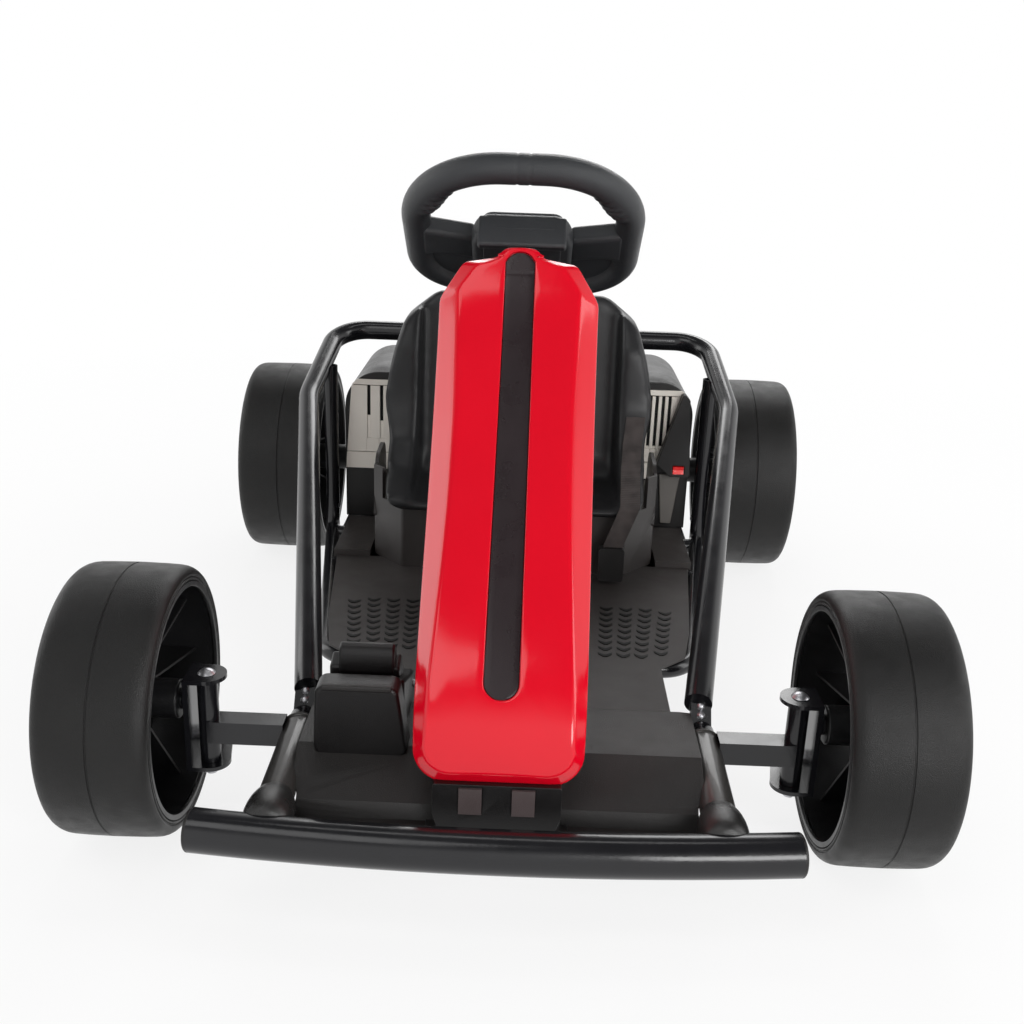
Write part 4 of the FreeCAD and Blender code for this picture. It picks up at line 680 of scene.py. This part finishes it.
def on_wall(fraction):
    """Places a ring on the side wall, from 0 at the bevel to 1 at the wall's back edge."""
    def place(edge, groove, where, side):
        near = BEVEL_SECTION[0][1] * bevel_scale(edge, groove, where)
        depth = near + (hood_wall_depth(where, edge.y) - near) * fraction
        point = on_hood(side * edge.x, edge.y, depth)
        if where < 1:
            level = on_hood(side * edge.x, edge.y, near) + Vector((0, depth - near, 0)) * MM
            point = point.lerp(level, 1 - where)
        return point
    return place


def on_bevel(distance, depth):
    """Places a ring on the bevel."""
    def place(edge, groove, where, side):
        scale = bevel_scale(edge, groove, where)
        spot = edge + (groove - edge).normalized() * distance * scale
        return on_hood(side * spot.x, spot.y, depth * scale)
    return place


def on_face(share, depth=0.0):
    """Places a ring on the face, from 0 at the bevel to 1 at the groove."""
    def place(edge, groove, where, side):
        scale = bevel_scale(edge, groove, where)
        start = edge + (groove - edge).normalized() * BEVEL_SECTION[-1][0] * scale
        spot = start.lerp(groove, share)
        return on_hood(side * spot.x, spot.y, depth)
    return place


def on_strip(scale, depth):
    """Places a ring on the strip, which has a shallow joint across it near its top."""
    middle, joint = HOOD.at_height(STRIP_MIDDLE_Z), HOOD.at_height(STRIP_JOINT_Z)

    def place(_edge, groove, _where, side):
        s = groove.y + (STRIP_END_GAP if groove.y < middle else -STRIP_END_GAP)
        dip = STRIP_JOINT_DEPTH * math.exp(-((groove.y - joint) / STRIP_JOINT_HALF) ** 2)
        return on_hood(side * (STRIP_HALF - STRIP_SIDE_GAP) / STRIP_HALF * groove.x * scale, s, depth + dip)
    return place


def hood_skin(places):
    """A skin over the hood, with one ring for each placing function and the last ring filled."""
    pairs = hood_pairs()
    shape = Shape()
    rows = shape.skin([hood_ring(pairs, place) for place in places])
    shape.fill(rows[-1])
    return shape


def hood_shell():
    """The hood's skin: side wall, bevel, face, groove's lip and groove's floor."""
    places = [on_wall(fraction) for fraction in WALL_FRACTIONS]
    places += [on_bevel(distance, depth) for distance, depth in BEVEL_SECTION]
    places += [on_face(share) for share in FACE_SHARES]
    places += [on_face(share, depth) for share, depth in GROOVE_LIP]
    return hood_skin(places)


def hood_strip():
    """The black strip that lies in the hood's groove."""
    return hood_skin([on_strip(scale, depth) for scale, depth in STRIP_SECTION])


piece("hood_shell", hood_shell(), "red_plastic", stands_for="fairing", solid=HOOD_THICKNESS, sharp=50)
piece("hood_strip", hood_strip(), "strip_plastic", stands_for="fairing_strip", sharp=50)


# ---------------------------------------------------------------- steering wheel
WHEEL_CENTRE = Vector((0.0, 370.0, 548.0))
CRANK_DOWN = Vector((0.0, 0.8, -0.6))
COLUMN_AXIS = Vector((0.0, 0.6, 0.8))
GRIP_RADIUS = 16.5
GRIP_HALF_X, GRIP_HALF_Y = 120.75, 116.5
GRIP_TOP_CORNER, GRIP_LOW_CORNER = 98, 62
GRIP_RINGS, GRIP_STEPS = 360, 28
SEAM_DEPTH, SEAM_AT, SEAM_HALF = 0.05, 7, 1.3
FINGER_RISE = (0.16, 0.28, 0.40, 0.42, 0.30)
FINGER_START, FINGER_PITCH, FINGER_HALF = 95, 11.5, 4.4
HORN_X, HORN_DOWN = 78, 24
# The horn cap's section, as a distance along the column and a radius.
HORN_CAP = [(5.8, 8.0), (5.8, 9.0), (12.2, 9.0), (13.0, 8.4), (13.3, 7.4), (13.0, 4.0), (12.9, 0.05),
            (5.8, 0.05)]


def on_wheel(u, v, w):
    """A point on the steering wheel: u across, v towards the lap, w towards the driver."""
    return kart_point(*(WHEEL_CENTRE + Vector((u, 0, 0)) + CRANK_DOWN * v + COLUMN_AXIS * w))


def on_wheel_side(v, w, u):
    """Places an outline that is seen from the wheel's side and drawn out across it."""
    return on_wheel(u, v, w)


def wheel_part(outline, low, high, place=on_wheel):
    """A part of the steering wheel: an outline drawn out from low to high."""
    shape = Shape()
    shape.prism(outline, low, high, place)
    return shape


def wheel_grip():
    """The rim of the wheel: a swept round section with finger notches and a moulded seam."""
    x, y = GRIP_HALF_X, GRIP_HALF_Y
    outline = rounded([(0, -y), (x, -y), (x, y), (-x, y), (-x, -y)],
                      [0, GRIP_TOP_CORNER, GRIP_LOW_CORNER, GRIP_LOW_CORNER, GRIP_TOP_CORNER], 24)
    path = spaced(outline, GRIP_RINGS, closed=True)
    total = sum((path[i] - path[i - 1]).length for i in range(GRIP_RINGS))
    rings = []
    for i, here in enumerate(path):
        along = (path[(i + 1) % GRIP_RINGS] - path[i - 1]).normalized()
        outward = Vector((along.y, -along.x))
        s = total * i / GRIP_RINGS
        s = min(s, total - s)
        seam = 1 - SEAM_DEPTH * math.exp(-((s - SEAM_AT) / SEAM_HALF) ** 2)
        notch = 0.0
        for k, height in enumerate(FINGER_RISE):
            notch += height * math.exp(-((s - FINGER_START - FINGER_PITCH * k) / FINGER_HALF) ** 4)
        ring = []
        for k in range(GRIP_STEPS):
            angle = 2 * math.pi * k / GRIP_STEPS
            inside = max(0.0, -math.cos(angle))
            r = GRIP_RADIUS * seam * (1 + notch * inside ** 0.8)
            ring.append(on_wheel(here.x + outward.x * r * math.cos(angle),
                                 here.y + outward.y * r * math.cos(angle), r * math.sin(angle)))
        rings.append(ring)
    shape = Shape()
    shape.skin(rings + rings[:1])
    return shape


def wheel_plate():
    """The plate across the wheel's lower half."""
    x, y = GRIP_HALF_X, GRIP_HALF_Y
    outline = rounded([(-x, -12), (-61, 3), (61, 3), (x, -12), (x, y), (-x, y)],
                      [0, 20, 20, 0, GRIP_LOW_CORNER, GRIP_LOW_CORNER], 10)
    return wheel_part(outline, -6, 6)


def wheel_spokes():
    """Two thick spokes that widen into the grip, over the plate."""
    shape = Shape()
    for side in (-1, 1):
        corners = [(54, 2), (116, -13), (118, 42), (92, 38), (54, 46)]
        outline = rounded([(side * u, v) for u, v in corners], [0, 0, 0, 30, 0], 8)
        shape.prism(outline, -15, 8.4, on_wheel)
    return shape


def hub_front():
    """The hub's shell on the side away from the driver."""
    corners = [(-49, -47), (49, -47), (57, -20), (57, 54), (-57, 54), (-57, -20)]
    return wheel_part(rounded(corners, [20, 20, 24, 12, 12, 24], 8), -34.6, -8.3)


def hub_brow():
    """The hub's thick upper edge, which stands out over its front."""
    corners = [(-46.8, -12), (-46.8, -49), (-40, -51), (-14, -34), (-14, -12)]
    return wheel_part(corners, -49, 49, on_wheel_side)


def hub_panel():
    """The plain raised panel on the hub's front."""
    corners = [(-37, -33), (37, -33), (44, -14), (44, 40), (-44, 40), (-44, -14)]
    return wheel_part(rounded(corners, [14, 14, 20, 8, 8, 20], 6), -35.9, -30)


def hub_pad():
    """The pad that faces the driver."""
    return wheel_part(rounded([(-46, -10), (46, -10), (46, 56), (-46, 56)], 12, 8), 8.3, 16.3)


def horn_cap(side):
    """A horn button's round cap."""
    shape = Shape()
    centre = WHEEL_CENTRE + Vector((side * HORN_X, 0, 0)) + CRANK_DOWN * HORN_DOWN
    shape.turn(HORN_CAP, centre, COLUMN_AXIS)
    return shape


piece("wheel_grip", wheel_grip(), "grip", "steering", "steering_wheel", sharp=60)
piece("wheel_plate", wheel_plate(), "grip", "steering", "steering_wheel", bevel=2.5)
piece("wheel_spokes", wheel_spokes(), "grip", "steering", "steering_wheel", bevel=6.0, segments=5)
piece("wheel_hub_front", hub_front(), "grip", "steering", "wheel_hub_shells", bevel=7.0, segments=5)
piece("wheel_hub_brow", hub_brow(), "grip", "steering", "wheel_hub_shells", bevel=8.0, segments=5)
piece("wheel_hub_panel", hub_panel(), "grip", "steering", "wheel_hub_shells", bevel=1.6)
piece("wheel_hub_pad", hub_pad(), "grip", "steering", "wheel_hub_shells", bevel=3.0, segments=4)
for side_name, side in SIDES:
    button = f"horn_button_{side_name}"
    piece(f"horn_{side_name}_cap", horn_cap(side), "red_plastic", f"horn_{side_name}", button,
          slot=SLOT_OF[button])


# ---------------------------------------------------------------- seat, casing and floor pan
softened("seat_shell", "seat", voxel=4.0, passes=30)
# The seat base is lightened with painted light.
polished("seat_base_shell", "seat_base", 3.0, finish="base_plastic")
polished("rear_casing_shell", "rear_casing", 4.0, segments=4)
polished("nose_box_shell", "nose_box", 1.2, finish="dark_plastic")
polished("switch_pod_shell", "switch_pod", 2.0, segments=3)
polished("floor_pan_shell", "floor_pan", 0.9)


# ---------------------------------------------------------------- pedal
PEDAL_ARM_X, PEDAL_ARM_WIDTH = (-150, -112), 6


def housing_block():
    """The pedal's housing: a rounded block that widens downwards, and a ramp behind it."""
    shape = Shape()
    block = rounded([(-171, 110), (-83, 110), (-93.5, 181.5), (-168.5, 181.5)], [10, 10, 9, 9], 6)
    shape.prism(block, -62, -32, from_front)
    shape.prism([(-34, 112), (56, 112), (56, 144), (28, 153), (-34, 177)], -166, -90, from_side)
    return shape


def housing_crest():
    """A thin lip along the block's front top edge."""
    shape = Shape()
    lip = rounded([(-63.2, 177.6), (-57, 177.6), (-57, 183.4), (-63.2, 183.4)], 1.8, 4)
    shape.prism(lip, -162, -99, from_side)
    return shape


def pedal_pad():
    """The accelerator: a thick pad in two steps, on two arms from its pin."""
    shape = Shape()
    upper = [(-15, 172), (-15, 190), (-12, 197), (-3, 199.5), (7, 191), (17, 170), (4, 160)]
    shape.prism(upper, -154, -102, from_side)
    shape.prism([(-13, 158), (-13, 178), (8, 184), (25, 160), (14, 148)], -163, -97, from_side)
    for x in PEDAL_ARM_X:
        shape.prism([(41, 128), (49, 138), (14, 165), (8, 156)], x, x + PEDAL_ARM_WIDTH, from_side)
    return shape


# The pedal's housing and pad are darkened with painted shade.
piece("pedal_housing_block", housing_block(), "dark_plastic", stands_for="pedal_housing", bevel=4.0,
      segments=4)
piece("pedal_housing_crest", housing_crest(), "floor_plastic", stands_for="pedal_housing", bevel=0.6)
piece("pedal_pad_skin", pedal_pad(), "dark_plastic", "pedal", "accelerator_pedal", bevel=4.2, segments=4)


# ---------------------------------------------------------------- floor pattern
PAN_TOP_Z = 83.2
CHEVRON_RISE, CHEVRON_ROOT = 0.9, 0.3
CHEVRON_START_Y, CHEVRON_STEP, CHEVRON_ROWS = 229.0, 16.6, 9
# The x of each column at its first and its last row. The outermost is a row shorter and starts further back.
CHEVRON_COLUMNS = ((114.0, 122.7), (135.4, 147.4), (155.9, 172.3), (179.8, 196.4))
OUTER_COLUMN_SHIFT = 0.55
CHEVRON_ARM = [(0, -4.4), (2.2, -4.6), (7.6, 1.6), (8.2, 6.2), (4.6, 3.2), (0, 0.6)]


def chevron(shape, x, y):
    """One raised chevron on the floor, which points forwards."""
    for way in (-1, 1):
        arm = [(x + way * u, y + v) for u, v in CHEVRON_ARM]
        shape.prism(arm, PAN_TOP_Z - CHEVRON_ROOT, PAN_TOP_Z + CHEVRON_RISE, kart_point)


def floor_chevrons():
    """Columns of small chevrons on both sides of the floor."""
    shape = Shape()
    for side in (-1, 1):
        for front_x, back_x in CHEVRON_COLUMNS:
            outermost = (front_x, back_x) == CHEVRON_COLUMNS[-1]
            rows = CHEVRON_ROWS - 1 if outermost else CHEVRON_ROWS
            for row in range(rows):
                y = CHEVRON_START_Y + CHEVRON_STEP * (row + (OUTER_COLUMN_SHIFT if outermost else 0))
                chevron(shape, side * (front_x + (back_x - front_x) * row / (rows - 1)), y)
    return shape


# The chevron pattern is the floor's own; its near-black colour is painted shade of the recessed marks.
piece("floor_chevrons", floor_chevrons(), "chevron_plastic", slot="floor_plastic")


# ---------------------------------------------------------------- vents
VENT_FRONT_Y, VENT_DEPTH = 685.7, 4
VENT_INNER_X, VENT_BORDER_X = 150, 226
VENT_FOOT_Z, VENT_FOOT_TOP_Z = 158, 183
VENT_HEAD_Z, VENT_TOP_Z = 286, 294
PANEL_LOW_Z, SLOT_LOW_Z, PANEL_HIGH_Z = 184, 205, 285
SLOT_WIDTH, RIB_EDGE = 4.6, 2.0
# For each side, -1 or 1: the foot's outer edge, the ribs' pitch, and the heights to which slots are filled.
VENT_SIDES = ((-1, 257, 19.0, (232, 240)), (1, 206, 9.5, (209,)))


def on_vent(side):
    """Places an outline on one side's vent panel, seen from the front and drawn out backwards."""
    def place(x, z, back):
        return kart_point(side * x, VENT_FRONT_Y + back, z)
    return place


def vent_frame(shape, side, foot_edge, pitch, filled_to):
    """One side's pale panel: a foot, a head, an outer border, and ribs with slots between them."""
    def part(corners, front=0.0):
        shape.prism(corners, front, VENT_DEPTH, on_vent(side))

    def block(low_x, high_x, low_z, high_z, front=0.0):
        part([(low_x, low_z), (high_x, low_z), (high_x, high_z), (low_x, high_z)], front)

    part([(VENT_INNER_X, VENT_FOOT_Z), (foot_edge, VENT_FOOT_Z), (foot_edge - 1.5, VENT_FOOT_TOP_Z),
          (VENT_INNER_X, VENT_FOOT_TOP_Z)])
    part([(VENT_INNER_X, VENT_HEAD_Z), (247.6, VENT_HEAD_Z), (240, VENT_TOP_Z), (VENT_INNER_X, VENT_TOP_Z)])
    part([(VENT_BORDER_X, PANEL_LOW_Z), (255.3, PANEL_LOW_Z), (247.9, PANEL_HIGH_Z),
          (VENT_BORDER_X, PANEL_HIGH_Z)], 0.3)
    for k in range(int((VENT_BORDER_X - VENT_INNER_X) / pitch)):
        left = VENT_INNER_X + 0.5 + pitch * k
        right = left + pitch
        slot = right - RIB_EDGE - SLOT_WIDTH
        block(left, right - 0.4, PANEL_LOW_Z, SLOT_LOW_Z, 0.3)
        block(left, slot, SLOT_LOW_Z, PANEL_HIGH_Z)
        block(right - RIB_EDGE, right, SLOT_LOW_Z, PANEL_HIGH_Z)
        block(slot, right - RIB_EDGE, SLOT_LOW_Z, filled_to[k % len(filled_to)], 1.2)


def vent_frames():
    """The pale panels on both sides."""
    shape = Shape()
    for side, foot_edge, pitch, filled_to in VENT_SIDES:
        vent_frame(shape, side, foot_edge, pitch, filled_to)
    return shape


def vent_slot_shade():
    """Dark sheets behind the slots, in the darkest plastic: painted shade of the hollows behind them."""
    shape = Shape()
    for side in (-1, 1):
        corners = [(151, PANEL_LOW_Z), (248, PANEL_LOW_Z), (244, PANEL_HIGH_Z), (151, PANEL_HIGH_Z)]
        shape.prism(corners, 3.4, 3.9, on_vent(side))
    return shape


piece("vent_frames", vent_frames(), "grey_plastic", stands_for="vent_panels", bevel=0.7, segments=2)
# Painted shade behind the vent slots.
piece("vent_slot_shade", vent_slot_shade(), "chevron_plastic", stands_for="vent_panels", slot="grey_plastic")


# ---------------------------------------------------------------- small panels
def pod_skirt():
    """The grey panel under the switch pod."""
    shape = Shape()
    shape.prism([(214, 166), (246, 166), (237, 88), (221, 88)], 686, 690.5, from_front)
    return shape


def floor_ledges():
    """Thin ledges behind the seat and under the nose box."""
    shape = Shape()
    shape.prism([(-256, 640), (256, 640), (256, 702), (-256, 702)], 76.5, 80, kart_point)
    shape.prism([(-62, -126), (62, -126), (66, -58), (-66, -58)], 77.5, 81, kart_point)
    return shape


piece("switch_pod_skirt", pod_skirt(), "skirt_plastic", stands_for="switch_pod", bevel=1.5)
piece("floor_ledges", floor_ledges(), "black_plastic", bevel=1.0)


# ---------------------------------------------------------------- struts
STRUT_Z = 95.0
STRUT_FOOT_X, STRUT_HEAD_X, STRUT_HEAD_Y = 195.0, 198.0, 34.0
BUMPER_FRONT_Y, BUMPER_BOW, BUMPER_HALF_LENGTH = -169.0, 14.0, 257.0
STRUT_FOOT_Y = BUMPER_FRONT_Y + BUMPER_BOW * (STRUT_FOOT_X / BUMPER_HALF_LENGTH) ** 2
# Sections as a distance from the strut's foot, on the bumper's centre line, and a radius.
BOOT = [(3.0, 13.6), (4.0, 17.2), (8.0, 20.4), (14, 21.8), (22, 22.2), (30, 21.8), (38, 20.6), (45, 18.8),
        (50, 17.0), (52, 16.3), (52, 13.6)]
SLEEVE = [(19.0, 13.4), (19.0, 15.6), (20.5, 16.0), (171, 16.0), (172, 17.4), (174, 17.9), (176, 17.3),
          (177, 16.0), (179, 16.0), (181, 15.4), (182.5, 14.4), (182.5, 13.4)]


def on_struts(section):
    """A section turned about each strut."""
    shape = Shape()
    for side in (-1, 1):
        foot = Vector((side * STRUT_FOOT_X, STRUT_FOOT_Y, STRUT_Z))
        head = Vector((side * STRUT_HEAD_X, STRUT_HEAD_Y, STRUT_Z))
        shape.turn(section, foot, head - foot, 64)
    return shape


piece("strut_boot_bells", on_struts(BOOT), "boot_rubber", stands_for="strut_boots", sharp=50)
# The sleeves wear a lighter copy of the black paint, a painted sheen along the struts.
piece("strut_sleeves", on_struts(SLEEVE), "strut_paint", slot="black_paint", sharp=50)


# ---------------------------------------------------------------- floor, light and camera, in metres
WHITE = (1, 1, 1, 1)
SKY_OVERHEAD, SKY_FADE = 0.14, (0.46, 0.80)
GROUND_HALF, GROUND_Z = 30, -0.0005
PAPER_WHITENESS, PAPER_FADE = (0.82, 1.0), (0.8, 2.2)
# Each lamp's place, the point that it faces, its width and height, and its power in watts.
LAMPS = {
    "key": ((1.25, -2.55, 1.1), (0, 0, 0.25), (1.3, 0.8), 34),
    "above": ((-0.9, -1.6, 2.6), (0, 0, 0.2), (1.6, 1.2), 12),
    "fill_right": ((2.6, -0.4, 1.3), (0, 0, 0.2), (1.0, 2.2), 20),
    "fill_left": ((-2.5, 0.75, 1.1), (0, 0, 0.2), (1.2, 2.0), 13),
    "top": ((0.0, 0.25, 3.0), (0, 0, 0.2), (1.8, 0.35), 5),
    "back": ((0.3, 2.6, 2.0), (0, 0, 0.2), (2.2, 1.0), 30),
}
CAMERA_PLACE = (0.0141, -1.3711, 0.6769)
CAMERA_YAW, CAMERA_PITCH, CAMERA_ROLL = 0.0111, 0.3315, 0.0354
SENSOR, LENS = 36.0, 41.1143625


def stand(made, place, rotation):
    """Puts a lamp or the camera at a place, turned by a quaternion."""
    made.location = place
    made.rotation_mode = "QUATERNION"
    made.rotation_quaternion = rotation


def area(name, place, aim, size, power):
    """A rectangular lamp."""
    lamp = bpy.data.lights.new(name, "AREA")
    lamp.shape = "RECTANGLE"
    lamp.size, lamp.size_y = size
    lamp.energy = power
    stand(linked(name, lamp), place, (Vector(aim) - Vector(place)).to_track_quat("-Z", "Y"))


def plain_white(tree, share):
    """A share of plain white for the camera, for mirrors and through glass, and none for the light."""
    path = node(tree, "LightPath")
    first = node(tree, "Math", operation="MAXIMUM")
    second = node(tree, "Math", operation="MAXIMUM")
    scaled = node(tree, "Math", operation="MULTIPLY")
    tree.links.new(path.outputs["Is Camera Ray"], first.inputs[0])
    tree.links.new(path.outputs["Is Transmission Ray"], first.inputs[1])
    tree.links.new(first.outputs["Value"], second.inputs[0])
    tree.links.new(path.outputs["Is Glossy Ray"], second.inputs[1])
    tree.links.new(second.outputs["Value"], scaled.inputs[0])
    tree.links.new(share, scaled.inputs[1])
    return scaled.outputs["Value"]


def studio_sky():
    """A studio sky: white all round near the horizon, and dim overhead."""
    world = bpy.data.worlds.new("studio")
    bpy.context.scene.world = world
    world.use_nodes = True
    tree = world.node_tree
    background = tree.nodes["Background"]
    parts = node(tree, "SeparateXYZ")
    tree.links.new(node(tree, "TexCoord").outputs["Generated"], parts.inputs["Vector"])
    level = mapped(tree, parts.outputs["Z"], 1.0, SKY_OVERHEAD, *SKY_FADE)
    tree.links.new(level, background.inputs["Strength"])
    background.inputs["Color"].default_value = WHITE


def paper():
    """Matt paper that keeps the kart's shadow near it, and fades to plain white further out."""
    made = material("paper", (0.9, 0.9, 0.9), 0.9, tint=0.01, cloud=1.0, relief=0.0, specular=0.1)
    tree = made.node_tree
    glow = node(tree, "Emission", Strength=1.0, Color=WHITE)
    lit = node(tree, "MixShader")
    reach = node(tree, "VectorMath", operation="LENGTH")
    tree.links.new(node(tree, "TexCoord").outputs["Object"], reach.inputs[0])
    whiteness = mapped(tree, reach.outputs["Value"], *PAPER_WHITENESS, *PAPER_FADE)
    tree.links.new(plain_white(tree, whiteness), lit.inputs["Fac"])
    tree.links.new(tree.nodes["Principled BSDF"].outputs["BSDF"], lit.inputs[1])
    tree.links.new(glow.outputs["Emission"], lit.inputs[2])
    tree.links.new(lit.outputs["Shader"], tree.nodes["Material Output"].inputs["Surface"])
    return made


def ground():
    """A wide flat floor just under the wheels."""
    shape = Shape()
    ends = (-GROUND_HALF, GROUND_HALF)
    shape.skin([[(x, y, GROUND_Z) for x in ends] for y in ends], closed=False)
    mesh = bpy.data.meshes.new("ground")
    mesh.from_pydata(shape.verts, [], shape.faces)
    mesh.materials.append(paper())
    return linked("ground", mesh)


def camera():
    """The camera, at the photograph's viewing angle."""
    eye = bpy.data.cameras.new("camera")
    eye.sensor_width = SENSOR
    eye.lens = LENS
    rotation = (Matrix.Rotation(CAMERA_YAW, 3, "Z") @ Matrix.Rotation(math.pi / 2 - CAMERA_PITCH, 3, "X")
                @ Matrix.Rotation(CAMERA_ROLL, 3, "Z"))
    made = linked("camera", eye)
    stand(made, CAMERA_PLACE, rotation.to_quaternion())
    return made


studio_sky()
ground()
for name, (place, aim, size, power) in LAMPS.items():
    area(name, place, aim, size, power)
bpy.context.scene.camera = camera()
bpy.context.scene.view_settings.view_transform = "Standard"
